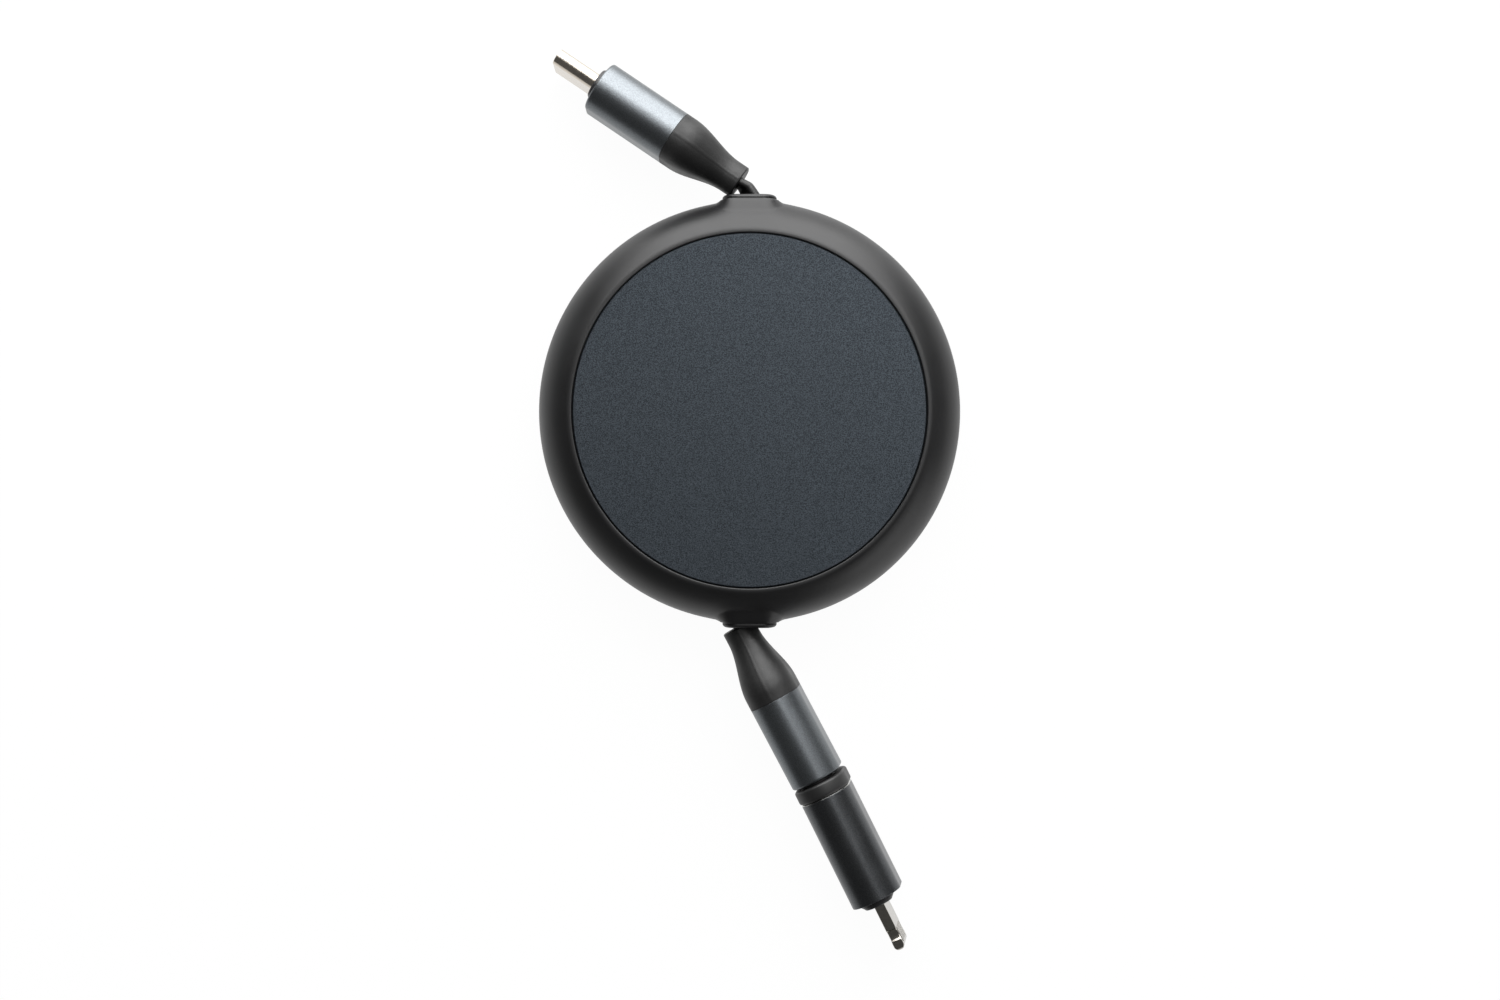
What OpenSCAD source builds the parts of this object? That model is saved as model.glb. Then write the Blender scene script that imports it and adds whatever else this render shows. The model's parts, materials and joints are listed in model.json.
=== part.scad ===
// Retractable charging cable.
// A flat cable is wound on a sprung spool in a round winder and leaves it through two mouths.
// Each end has an oval plug, and an adapter slid on the lower plug turns it into a flat tab.
// Millimetres. The origin is the centre of the winder's underside, Z is up and the mouths face along Y.

/* [Winder] */
// Outer diameter of the winder
housing_d = 60; // [58:0.5:64]
// Height of the winder
housing_h = 14; // [13.6:0.1:15]
// Thickness of the shell walls
shell_wall = 1.4; // [1.2:0.1:1.6]
// Width of the rim round the metal face plate
rim_w = 4.7; // [4:0.1:6.5]
// Thickness of the face plate
plate_t = 0.8; // [0.6:0.1:1]
// Bevel round the edge of the face plate
plate_bevel = 0.2; // [0.1:0.05:0.3]
// Width of the flat ring between the face plate and the domed rim
rim_flat = 0.45; // [0.3:0.05:1]

/* [Cable mouths] */
// Width of the lip of each mouth
lip_w = 7.4; // [7.2:0.1:8]
// Height of the lip of each mouth
lip_h = 8.4; // [8.2:0.1:9]
// How far each lip stands out from the rim
lip_out = 0.7; // [0.5:0.1:1.2]
// Wall round each mouth
lip_wall = 0.75; // [0.6:0.05:0.95]
// Radius of the blend from each lip to the rim
lip_blend_r = 1.7; // [1.2:0.1:2]

/* [Spool] */
// Outer radius of the drum that the cable winds on
drum_r = 11; // [10:0.25:12]
// Wall of the drum
drum_wall = 0.8; // [0.6:0.1:1]
// Thickness of each flange
flange_t = 0.8; // [0.6:0.1:1]
// Room between the flanges and the wall of the winder
flange_room = 4.4; // [4.2:0.1:5]
// Radius of the centre post
post_r = 2.2; // [2:0.1:2.4]
// Number of ratchet notches
notch_count = 6; // [4:1:8]
// Thickness of the mainspring strip
spring_t = 0.25; // [0.15:0.05:0.3]
// Turns of the mainspring
spring_turns = 5; // [4:1:6]

/* [Cable] */
// Thickness of the flat cable
cable_t = 1.3; // [1.1:0.05:1.4]
// Width of the flat cable
cable_w = 3.6; // [3.2:0.1:3.8]

/* [Plugs] */
// Thickness of a plug's sleeve
sleeve_t = 7.5; // [7:0.1:8]
// Width of a plug's sleeve
sleeve_w = 11; // [10.6:0.1:11.6]
// Length of a plug's sleeve
sleeve_l = 12.85; // [11:0.05:15]
// Wall of the sleeves
sleeve_wall = 0.6; // [0.5:0.05:0.8]
// Rounding of the sleeves' edges
sleeve_edge = 0.35; // [0.2:0.05:0.4]
// Length of a boot
boot_l = 11.4; // [10:0.1:14]
// Thickness of a boot at its cable end
boot_t = 4.8; // [4.4:0.1:5]
// Width of a boot at its cable end
boot_w = 5.4; // [5.2:0.1:5.8]
// Thickness of the oval tip
tip_t = 2.4; // [2.3:0.05:2.5]
// Width of the oval tip
tip_w = 8.25; // [8.1:0.05:8.4]
// Length of the oval tip beyond its collar
tip_l = 6.65; // [6:0.05:7]
// Wall of the oval tip
tip_wall = 0.25; // [0.2:0.05:0.3]

/* [Adapter] */
// Length of the adapter's end ring
ring_l = 2.1; // [2:0.1:3]
// Length of the adapter's sleeve
adapter_l = 16.5; // [15:0.1:19]
// Thickness of the flat tab
tab_t = 1.5; // [1.4:0.05:1.6]
// Width of the flat tab
tab_w = 6.7; // [6.4:0.05:7]
// Length of the flat tab beyond its collar
tab_l = 7.15; // [6:0.05:7.6]

/* [Hidden] */
$fn = 64;

// One overrun for every cut, and one hair's breadth between pieces that touch
cut = 1;
seam = 0.03;

// Colours
black = "#1c1d1f";
slate = "#3f474e";
gunmetal = "#6f7478";
charcoal = "#4b4d50";
steel = "#b9bab8";
brass = "#c9a24a";

// Winder: its section is a flat top and bottom joined by one arc round the rim
housing_r = housing_d / 2;
face_r = housing_r - rim_w;
mid_z = housing_h / 2;
plate_gap = 0.15;
tape_t = 0.1;
tape_w = 4;
roof_t = 1.2;
rim_top_r = face_r + plate_gap + rim_flat;
rim_out = housing_r - rim_top_r;
rim_arc_r = (rim_out * rim_out + mid_z * mid_z) / (2 * rim_out);
rim_arc_c = housing_r - rim_arc_r;
recess_z = housing_h - plate_t - tape_t;
cavity_top = recess_z - roof_t;
cavity_r = housing_r - shell_wall;
parting_w = 0.2;
tongue_t = shell_wall / 2;
tongue_h = 0.8;
tongue_gap = 0.06;

// Mouths
lip_y = housing_r + lip_out;
lip_corner_r = 2.2;
lip_bead = 0.4;
lip_groove_w = 0.25;
lip_groove_d = 0.2;
lip_blend_lift = 0.3;

// Spool: the flanges stand either side of the cable, the bearing bosses run on above and below
cable_room = 0.4;
channel_h = cable_w + 2 * cable_room;
lower_top = mid_z - channel_h / 2;
lower_z = lower_top - flange_t;
upper_z = mid_z + channel_h / 2;
flange_r = cavity_r - flange_room;
play = 0.1;
running_gap = 0.05;
bearing_r = post_r + running_gap;
boss_r = 4;
thrust_h = 0.4;
thrust_z = shell_wall + thrust_h;
spool_z = thrust_z + play;
roof_boss_h = 0.9;
spool_top = cavity_top - roof_boss_h - play;
cap_spigot = 0.5;
cap_spigot_w = 1;
ring_gap = 0.05;

// Ratchet under the lower flange, and the pawl beside it
ratchet_in = 2.2;
ratchet_r = flange_r - ratchet_in;
ratchet_w = 2.5;
ratchet_room = 0.4;
ratchet_h = lower_z - thrust_z - ratchet_room;
notch_r = 1.7;
pawl_angle = -17;
pawl_eye_r = 1.6;
pawl_nose_r = 0.8;
pawl_arm_w = 1.3;
pawl_neck = 0.1;
pawl_clear = 0.35;
pawl_z = thrust_z + play;
pawl_pivot_r = (ratchet_r + wall_r(pawl_z)) / 2;
pawl_nose_at = ratchet_r + pawl_clear + pawl_nose_r;
pawl_pivot = pawl_pivot_r * [cos(pawl_angle), sin(pawl_angle)];
pawl_nose = [pawl_nose_at, 0];
pawl_head_room = 0.4;
pawl_t = lower_z - pawl_head_room - pawl_z;
pin_r = 0.75;
pin_sunk = 0.8;
pin_head_r = 1.2;
pin_head_t = 0.25;
leaf_t = 0.2;
leaf_h = pawl_t - 2 * play;
leaf_touch = 0.05;
leaf_l = 7;
leaf_lean = 0.5;
anchor_t = 0.7;
anchor_l = 1.6;
anchor_h = 2.2;

// Mainspring in the drum, hooked into the post and into the drum's wall
spring_gap = 0.35;
spring_z = lower_top + spring_gap;
spring_h = channel_h - 2 * spring_gap - cap_spigot;
spring_eye = 1;
spring_room = 0.3;
spring_in = post_r + spring_eye;
spring_out = drum_r - drum_wall - spring_room;
spring_hook_in = 1.4;
spring_hook_out = 0.35;
spring_slot = 3 * spring_t;
spring_steps = 18 * spring_turns;

// Screw down the middle of the post
screw_r = 0.9;
screw_head_r = 1.9;
screw_head_t = 1;
screw_l = 6;
screw_gap = 0.06;
screw_slot_w = 0.5;
screw_slot_d = 0.4;

// Coil: two strands wound together, then one layer that the two leads make between them
lead_gap = 0.1;
flange_over = 0.55;
lead_r = flange_r - flange_over - cable_t / 2;
coil_out = lead_r - cable_t / 2 - lead_gap;
coil_in = drum_r + ring_gap;
coil_layers = floor((coil_out - coil_in) / cable_t);
coil_pitch = (coil_out - coil_in) / coil_layers;

// Routes of the leads from the coil out through their mouths, seen with the mouth ahead.
// Each point is across and along, measured from the middle of the lip, in steps of a grid.
grid = 0.1;
lead_a_route = grid * [[46, -53], [29, -37], [18, -22], [11.5, -9], [5, 0], [-4, 10.5]];
lead_b_route = grid * [[49, -52], [31, -37], [20, -25], [17.2, -17.5], [17, -9.5]];
lead_run_shares = [1 / 3, 2 / 3];
lead_wrap = 150;
lead_wrap_steps = 20;
lead_points = 5;

// Plugs: where the cable end of each boot lies, and how the plug points, seen with its mouth ahead
boot_a_at = grid * [-13.8, 19];
boot_a_heading = 145.8;
boot_a_tilt = 3.2;
boot_b_at = grid * [16, -0.4];
boot_b_heading = 117.9;
boot_b_tilt = 1.2;
plug_a_roll = 4;
plug_b_roll = 7;

// Plug pieces, along the plug from the cable end of its boot
boot_rings = 14;
boot_points = 14;
boot_flare_shares = [0.15, 0.87];
boot_edge = 0.2;
spigot_l = 2.5;
fit_gap = 0.05;
collar_out = 0.5;
collar_t = 4.4;
collar_step = 0.15;
collar_in = 1.2;
tip_in = 4.5;
insert_back = 0.4;
slot_t = 1.1;
slot_w = 6.7;
slot_l = 5.2;
contact_w = 0.24;
contact_t = 0.1;
contact_l = 3.6;
contact_pitch = 0.5;
contact_count = 12;
sleeve_z = boot_l;
sleeve_end = sleeve_z + sleeve_l;
collar_z = sleeve_end - collar_in;
tip_z = collar_z - tip_in + collar_in;
tip_end = sleeve_end + collar_out + tip_l;
inner_t = sleeve_t - 2 * sleeve_wall - 2 * fit_gap;
inner_w = sleeve_w - 2 * sleeve_wall - 2 * fit_gap;
collar_w = inner_w - 2 * collar_step;
plug_core = sleeve_w - sleeve_t;

// Adapter pieces, along the adapter from the open face of its ring
adapter_gap = 0.4;
adapter_cock = -1.5;
ring_proud = 0.15;
ring_edge = 0.4;
ring_spigot = 1.5;
socket_gap = 0.14;
socket_wall = 0.3;
collar_recess_gap = 0.25;
collar_recess = collar_out - adapter_gap + collar_recess_gap;
collar_recess_t = collar_t + 2 * collar_recess_gap;
collar_recess_w = collar_w + 2 * collar_recess_gap;
socket_back = 0.4;
socket_t = tip_t + 2 * (socket_gap + socket_wall + seam);
socket_w = tip_w + 2 * (socket_gap + socket_wall + seam);
tongue_thick = 0.6;
tongue_w = 6;
tongue_room = 0.5;
adapter_z = ring_l;
adapter_end = adapter_z + adapter_l;
socket_z = collar_recess + seam;
socket_end = tip_l + collar_out - adapter_gap + socket_back;
tongue_front = socket_end - socket_back - slot_l + tongue_room;
front_collar_out = 0.85;
front_collar_t = 4.3;
tab_in = 4;
tab_end = adapter_end + front_collar_out + tab_l;
notch_at = 4.6;
notch_l = 1.4;
notch_d = 0.45;
pad_count = 8;
pad_pitch = 0.66;
pad_w = 0.42;
pad_l = 2.2;
pad_t = 0.05;
pad_from_end = 0.9;

// Plain helpers

function unit(v) = v / norm(v);

// Inner radius of the winder's wall at a height
function wall_r(z) =
    let (inner_r = rim_arc_r - shell_wall, rise = z - mid_z)
        rim_arc_c + sqrt(inner_r * inner_r - rise * rise);

function smooth(from, to, x) = let (u = min(1, max(0, (x - from) / (to - from)))) u * u * (3 - 2 * u);

// Points round an obround section: thin across x, wide along y
function obround_points(t, w, n) = [
    for (side = [1, -1])
        for (i = [0 : n - 1])
            let (a = 180 * i / (n - 1) + (side > 0 ? 0 : 180))
                [t / 2 * cos(a), side * (w - t) / 2 + t / 2 * sin(a)]
];

// Faces of a skin over rings of n points, closed at both ends
function skin_faces(rings, n) = concat(
    [[for (i = [0 : n - 1]) i]],
    [
        for (k = [0 : rings - 2])
            for (i = [0 : n - 1])
                [k * n + i, (k + 1) * n + i, (k + 1) * n + (i + 1) % n, k * n + (i + 1) % n]
    ],
    [[for (i = [n - 1 : -1 : 0]) (rings - 1) * n + i]]
);

module skin(rings) {
    polyhedron(
        points = [for (ring = rings) for (p = ring) p],
        faces = skin_faces(len(rings), len(rings[0]))
    );
}

module obround_2d(t, w) {
    square([t, w - t], center = true);
    for (side = [-1, 1])
        translate([0, side * (w - t) / 2])
            circle(d = t);
}

module rounded_2d(w, h, r) {
    square([w, h - 2 * r], center = true);
    square([w - 2 * r, h], center = true);
    for (x = [-1, 1])
        for (y = [-1, 1])
            translate([x * (w / 2 - r), y * (h / 2 - r)])
                circle(r);
}

// A straight piece with an obround section, from one height to another
module obround(t, w, z0, z1) {
    translate([0, 0, z0])
        linear_extrude(z1 - z0)
            obround_2d(t, w);
}

// An obround piece with a moulded outline: the outline is revolved at both ends and runs straight between
module stadium(core) {
    for (turn = [0, 180])
        rotate([0, 0, turn])
            translate([0, core / 2, 0])
                rotate_extrude(angle = 180)
                    children();
    rotate([90, 0, 0])
        linear_extrude(core, center = true) {
            children();
            mirror([1, 0])
                children();
        }
}

// Half outline of a bar with rounded outer corners
module bar_outline(r, z0, z1, edge) {
    translate([0, z0 + edge])
        square([r, z1 - z0 - 2 * edge]);
    translate([0, z0])
        square([r - edge, z1 - z0]);
    for (z = [z0 + edge, z1 - edge])
        translate([r - edge, z])
            circle(edge);
}

// Frames of the two plugs and of the adapter, in which z runs along the plug from the end of its boot
module along_plug(at, heading, tilt, roll) {
    translate([at[0], lip_y + at[1], mid_z])
        rotate([0, 0, heading])
            rotate([0, tilt, 0])
                rotate([roll, 0, 0])
                    rotate([90, 0, 90])
                        children();
}

module at_plug_a() {
    along_plug(boot_a_at, boot_a_heading, boot_a_tilt, plug_a_roll)
        children();
}

module at_plug_b() {
    rotate([0, 0, 180])
        along_plug(boot_b_at, boot_b_heading, boot_b_tilt, plug_b_roll)
            children();
}

// The adapter is cocked a little about the middle of the tip that it is slid on
module at_adapter() {
    at_plug_b()
        translate([0, 0, tip_end - tip_l / 2])
            rotate([0, adapter_cock, 0])
                translate([0, 0, sleeve_end + adapter_gap - tip_end + tip_l / 2])
                    children();
}

// Winder shells

// Half section of the winder, grown outwards by a distance, between two heights
module rim_outline(grow, z0, z1) {
    intersection() {
        translate([0, z0])
            square([housing_d, z1 - z0]);
        union() {
            square([rim_arc_c, housing_h]);
            translate([rim_arc_c, mid_z])
                circle(rim_arc_r + grow);
        }
    }
}

module mouth_bar(w, h, r, from, to) {
    translate([0, to, mid_z])
        rotate([90, 0, 0])
            linear_extrude(to - from)
                rounded_2d(w, h, r);
}

// One mouth's outside: a straight lip with a bead, blended into the rim at both sides
module mouth_outside() {
    bead_y = lip_y - lip_bead;
    mouth_bar(lip_w, lip_h, lip_corner_r, bead_y, lip_y);
    mouth_bar(lip_w - 2 * lip_groove_d, lip_h - 2 * lip_groove_d, lip_corner_r, rim_arc_c, bead_y + seam);
    mouth_bar(lip_w, lip_h, lip_corner_r, rim_arc_c, bead_y - lip_groove_w);
    intersection() {
        translate([0, 0, mid_z - lip_h / 2])
            linear_extrude(lip_h)
                difference() {
                    blend_w = lip_w + 2 * lip_blend_r;
                    translate([-blend_w / 2, rim_arc_c])
                        square([blend_w, bead_y - lip_groove_w - rim_arc_c]);
                    for (side = [-1, 1])
                        translate([side * blend_w / 2, lip_y + lip_blend_lift])
                            circle(lip_blend_r);
                }
        rotate_extrude()
            rim_outline(lip_out, 0, housing_h);
    }
}

module mouth_inside() {
    mouth_bar(lip_w - 2 * lip_wall, lip_h - 2 * lip_wall, lip_corner_r - lip_wall, rim_arc_c, lip_y + cut);
}

module both_mouths() {
    for (turn = [0, 180])
        rotate([0, 0, turn])
            children();
}

module winder_half(z0, z1) {
    difference() {
        union() {
            rotate_extrude()
                rim_outline(0, z0, z1);
            intersection() {
                both_mouths()
                    mouth_outside();
                translate([-housing_d, -housing_d, z0])
                    cube([2 * housing_d, 2 * housing_d, z1 - z0]);
            }
        }
        rotate_extrude()
            rim_outline(-shell_wall, shell_wall, cavity_top);
        both_mouths()
            mouth_inside();
        rotate_extrude()
            translate([housing_r - parting_w, mid_z - parting_w / 2])
                square([parting_w + cut, parting_w]);
    }
}

module bottom_shell() {
    color(black)
        difference() {
            union() {
                winder_half(0, mid_z);
                // Tongue that centres the top shell
                difference() {
                    rotate_extrude()
                        translate([cavity_r, mid_z - tongue_h])
                            square([tongue_t, 2 * tongue_h]);
                    both_mouths()
                        mouth_inside();
                }
                // Centre post on its thrust boss
                translate([0, 0, shell_wall - seam])
                    cylinder(h = cavity_top - shell_wall, r = post_r);
                translate([0, 0, shell_wall - seam])
                    cylinder(h = thrust_h + seam, r = boss_r);
                // Boss of the pawl and the two cheeks that hold its leaf spring
                translate([pawl_pivot[0], pawl_pivot[1], shell_wall - seam])
                    cylinder(h = thrust_h + seam, r = pawl_eye_r);
                leaf_frame()
                    for (side = [-1, 1])
                        translate([side * (leaf_t + anchor_t + 2 * leaf_touch) / 2 - anchor_t / 2,
                                   leaf_l - anchor_l, shell_wall - seam])
                            cube([anchor_t, anchor_l, anchor_h + seam]);
            }
            // Screw hole, and the slot that holds the mainspring's inner hook
            translate([0, 0, cavity_top - screw_l])
                cylinder(h = screw_l + cut, r = screw_r + screw_gap);
            translate([0, -spring_slot / 2, spring_z - spring_gap])
                cube([post_r + cut, spring_slot, spring_h + 2 * spring_gap]);
            translate([pawl_pivot[0], pawl_pivot[1], thrust_z - pin_sunk])
                cylinder(h = pin_sunk + cut, r = pin_r + seam);
        }
}

module top_shell() {
    color(black)
        difference() {
            union() {
                winder_half(mid_z, housing_h);
                // Roof boss round the head of the post
                translate([0, 0, cavity_top - roof_boss_h])
                    cylinder(h = roof_boss_h + seam, r = boss_r);
            }
            // Rebate for the tongue
            rotate_extrude()
                translate([cavity_r - tongue_t, mid_z - cut])
                    square([2 * tongue_t + tongue_gap, cut + tongue_h + tongue_gap]);
            // Recess for the face plate
            translate([0, 0, recess_z])
                cylinder(h = plate_t + tape_t + cut, r = face_r + plate_gap);
            // Socket for the post, and the countersunk hole of the centre screw
            translate([0, 0, cavity_top - roof_boss_h - cut])
                cylinder(h = roof_boss_h + cut, r = bearing_r);
            translate([0, 0, cavity_top - cut])
                cylinder(h = roof_t + 2 * cut, r = screw_r + screw_gap);
            translate([0, 0, recess_z - screw_head_t])
                cylinder(h = screw_head_t + cut, r = screw_head_r + screw_gap);
        }
}

module face_plate() {
    color(slate)
        rotate_extrude()
            polygon([
                [0, recess_z + tape_t],
                [face_r, recess_z + tape_t],
                [face_r, housing_h - plate_bevel],
                [face_r - plate_bevel, housing_h],
                [0, housing_h]
            ]);
}

module plate_adhesive() {
    color(charcoal)
        translate([0, 0, recess_z])
            difference() {
                cylinder(h = tape_t, r = face_r - plate_gap);
                translate([0, 0, -cut])
                    cylinder(h = tape_t + 2 * cut, r = face_r - plate_gap - tape_w);
            }
}

module centre_screw() {
    color(steel)
        difference() {
            union() {
                translate([0, 0, recess_z - screw_head_t])
                    cylinder(h = screw_head_t - seam, r = screw_head_r);
                translate([0, 0, cavity_top - screw_l + screw_gap])
                    cylinder(h = recess_z - screw_head_t - cavity_top + screw_l, r = screw_r);
            }
            for (turn = [0, 90])
                rotate([0, 0, turn])
                    translate([-screw_head_r / 2, -screw_slot_w / 2, recess_z - screw_slot_d])
                        cube([screw_head_r, screw_slot_w, screw_slot_d + cut]);
        }
}

// Spool

module spool() {
    color("#2b2d30")
        difference() {
            union() {
                translate([0, 0, lower_z])
                    cylinder(h = flange_t, r = flange_r);
                translate([0, 0, lower_z])
                    cylinder(h = flange_t + channel_h, r = drum_r);
                translate([0, 0, spool_z])
                    cylinder(h = lower_z - spool_z + seam, r = boss_r);
                // Ratchet ring with its notches
                difference() {
                    translate([0, 0, lower_z - ratchet_h])
                        cylinder(h = ratchet_h + seam, r = ratchet_r);
                    translate([0, 0, lower_z - ratchet_h - cut])
                        cylinder(h = ratchet_h + cut, r = ratchet_r - ratchet_w);
                    for (i = [0 : notch_count - 1])
                        rotate([0, 0, i * 360 / notch_count])
                            translate([ratchet_r, 0, lower_z - ratchet_h - cut])
                                cylinder(h = ratchet_h + cut, r = notch_r);
                }
            }
            translate([0, 0, lower_top])
                cylinder(h = channel_h + cut, r = drum_r - drum_wall);
            translate([0, 0, spool_z - cut])
                cylinder(h = housing_h, r = bearing_r);
            // Slot in the drum for the mainspring's outer hook
            translate([spring_out - spring_slot, -spring_slot / 2, spring_z - spring_gap / 2])
                cube([drum_r - drum_wall + spring_hook_out - spring_out + spring_slot,
                      spring_slot, channel_h]);
        }
}

module spool_cap() {
    color("#2b2d30")
        difference() {
            union() {
                translate([0, 0, upper_z])
                    cylinder(h = flange_t, r = flange_r);
                translate([0, 0, upper_z])
                    cylinder(h = spool_top - upper_z, r = boss_r);
                // Spigot that snaps into the drum
                difference() {
                    translate([0, 0, upper_z - cap_spigot])
                        cylinder(h = cap_spigot + seam, r = drum_r - drum_wall - ring_gap);
                    translate([0, 0, upper_z - cap_spigot - cut])
                        cylinder(h = cap_spigot + cut, r = drum_r - drum_wall - ring_gap - cap_spigot_w);
                }
            }
            translate([0, 0, upper_z - cap_spigot - cut])
                cylinder(h = housing_h, r = bearing_r);
        }
}

// Flat spiral strip with a hook at each end
module mainspring() {
    function spiral_r(i) = spring_in + (spring_out - spring_in) * i / spring_steps;
    function spiral_at(i, r) = let (a = 360 * spring_turns * i / spring_steps) [r * cos(a), r * sin(a)];
    hook_r = drum_r - drum_wall + spring_hook_out / 2;
    color(steel)
        translate([0, 0, spring_z])
            linear_extrude(spring_h)
                polygon(concat(
                    [for (i = [0 : spring_steps]) spiral_at(i, spiral_r(i) - spring_t)],
                    [[spring_out - spring_t, spring_t], [hook_r, spring_t], [hook_r, 0]],
                    [for (i = [spring_steps : -1 : 0]) spiral_at(i, spiral_r(i))],
                    [[spring_in, -spring_t], [spring_hook_in, -spring_t], [spring_hook_in, 0]]
                ));
}

// Cable

// The turns of both strands, layer on layer, as one closed ring
module wound_cable() {
    color(charcoal)
        rotate_extrude()
            for (i = [0 : coil_layers - 1])
                translate([coil_in + coil_pitch * (i + 0.5), mid_z]) {
                    square([coil_pitch + seam, cable_w - coil_pitch], center = true);
                    for (side = [-1, 1])
                        translate([0, side * (cable_w - coil_pitch) / 2])
                            circle(d = coil_pitch);
                }
}

// Direction along a plug, and the direction of its width, seen with its mouth ahead
function plug_ahead(heading, tilt) =
    [cos(tilt) * cos(heading), cos(tilt) * sin(heading), -sin(tilt)];
function plug_up(heading, tilt, roll) =
    let (a = cos(roll) * sin(tilt), b = -sin(roll))
        [
            cos(heading) * a - sin(heading) * b,
            sin(heading) * a + cos(heading) * b,
            cos(roll) * cos(tilt)
        ];

// One ring of the flat cable's section at each point, square to the way the cable runs
function ribbon_rings(points, ups) = [
    for (k = [0 : len(points) - 1])
        let (
            ahead = unit(points[min(k + 1, len(points) - 1)] - points[max(k - 1, 0)]),
            across = unit(cross(ups[k], ahead)),
            up = cross(ahead, across)
        )
            [for (p = obround_points(cable_t, cable_w, lead_points)) points[k] + across * p[0] + up * p[1]]
];

// A lead lies round the coil, runs off it in a straight line, and goes through its mouth into the boot
module cable_lead(route, boot_at, heading, tilt, roll) {
    first = [route[0][0], lip_y + route[0][1]];
    leave = atan2(first[1], first[0]) - acos(lead_r / norm(first));
    leave_at = lead_r * [cos(leave), sin(leave)];
    ahead = plug_ahead(heading, tilt);
    boot_end = [boot_at[0], lip_y + boot_at[1], mid_z];
    tail = [-boot_edge, 0, boot_l / 2, boot_l + spigot_l - seam];
    wrap = [
        for (i = [0 : lead_wrap_steps])
            let (a = leave - lead_wrap * (1 - i / lead_wrap_steps))
                [lead_r * cos(a), lead_r * sin(a), mid_z]
    ];
    run = [
        for (u = lead_run_shares)
            let (p = leave_at + (first - leave_at) * u)
                [p[0], p[1], mid_z]
    ];
    free = [for (p = route) [p[0], lip_y + p[1], mid_z]];
    inside = [for (s = tail) boot_end + ahead * s];
    before = concat(wrap, run, free);
    points = concat(before, inside);
    ups = concat([for (p = before) [0, 0, 1]], [for (p = inside) plug_up(heading, tilt, roll)]);
    color(charcoal)
        skin(ribbon_rings(points, ups));
}

module cable_lead_a() {
    cable_lead(lead_a_route, boot_a_at, boot_a_heading, boot_a_tilt, plug_a_roll);
}

module cable_lead_b() {
    rotate([0, 0, 180])
        cable_lead(lead_b_route, boot_b_at, boot_b_heading, boot_b_tilt, plug_b_roll);
}

// Ratchet

module ratchet_pawl() {
    reach = norm(pawl_nose - pawl_pivot);
    lean = atan2(pawl_nose[1] - pawl_pivot[1], pawl_nose[0] - pawl_pivot[0]);
    color(brass)
        translate([pawl_pivot[0], pawl_pivot[1], pawl_z])
            rotate([0, 0, lean])
                linear_extrude(pawl_t)
                    difference() {
                        union() {
                            circle(pawl_eye_r);
                            polygon([
                                [0, -pawl_arm_w / 2],
                                [reach, -pawl_nose_r],
                                [reach, pawl_neck],
                                [0, pawl_arm_w / 2]
                            ]);
                            translate([reach, 0])
                                circle(pawl_nose_r);
                        }
                        circle(pin_r + running_gap);
                    }
}

module pawl_pin() {
    color(steel)
        translate([pawl_pivot[0], pawl_pivot[1], 0]) {
            translate([0, 0, thrust_z - pin_sunk + seam])
                cylinder(h = pawl_z + pawl_t + running_gap - thrust_z + pin_sunk, r = pin_r);
            translate([0, 0, pawl_z + pawl_t + running_gap])
                cylinder(h = pin_head_t, r = pin_head_r);
        }
}

// Frame of the leaf spring: it starts behind the pawl's nose and runs to its anchor along y
module leaf_frame() {
    translate([pawl_nose[0] + pawl_nose_r + leaf_touch + leaf_t / 2, 0, 0])
        rotate([0, 0, -leaf_lean])
            children();
}

module pawl_spring() {
    color(steel)
        leaf_frame()
            translate([-leaf_t / 2, 0, pawl_z + play])
                cube([leaf_t, leaf_l, leaf_h]);
}

// Plugs, in their own frame: thin across x, wide along y, the cable end at z = 0

// The boot flares from its cable end to the sleeve, with a spigot into the sleeve
module boot() {
    function flare(z) = smooth(boot_flare_shares[0], boot_flare_shares[1], z / boot_l);
    function level(z, inset) = let (
        t = boot_t + (sleeve_t - boot_t) * flare(z) - 2 * inset,
        w = boot_w + (sleeve_w - boot_w) * flare(z) - 2 * inset
    ) [for (p = obround_points(t, w, boot_points)) [p[0], p[1], z]];
    rings = concat(
        [level(0, boot_edge), level(boot_edge, 0)],
        [for (i = [1 : boot_rings - 1]) level(boot_l * i / boot_rings, 0)],
        [level(boot_l - seam, 0)],
        [
            for (z = [boot_l - seam, boot_l + spigot_l])
                [for (p = obround_points(inner_t, inner_w, boot_points)) [p[0], p[1], z]]
        ]
    );
    color(black)
        difference() {
            skin(rings);
            obround(cable_t + 2 * fit_gap, cable_w + 2 * fit_gap, -cut, boot_l + spigot_l + cut);
        }
}

module sleeve(z0, z1) {
    difference() {
        stadium(plug_core)
            bar_outline(sleeve_t / 2, z0, z1, sleeve_edge);
        obround(sleeve_t - 2 * sleeve_wall, sleeve_w - 2 * sleeve_wall, z0 - cut, z1 + cut);
    }
}

module plug_sleeve() {
    color(gunmetal)
        sleeve(sleeve_z, sleeve_end);
}

// Moulding inside the sleeve, from the boot's spigot to the collar, round the back of the tip
module plug_core() {
    color(charcoal)
        difference() {
            obround(inner_t, inner_w, boot_l + spigot_l + seam, collar_z - seam);
            obround(tip_t + 2 * seam, tip_w + 2 * seam, tip_z - seam, collar_z + cut);
        }
}

module plug_collar() {
    color(black)
        difference() {
            union() {
                obround(inner_t, inner_w, collar_z, sleeve_end - sleeve_edge / 2);
                obround(collar_t, collar_w, collar_z, sleeve_end + collar_out);
            }
            obround(tip_t + 2 * seam, tip_w + 2 * seam, collar_z - cut, sleeve_end + collar_out + cut);
        }
}

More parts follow.
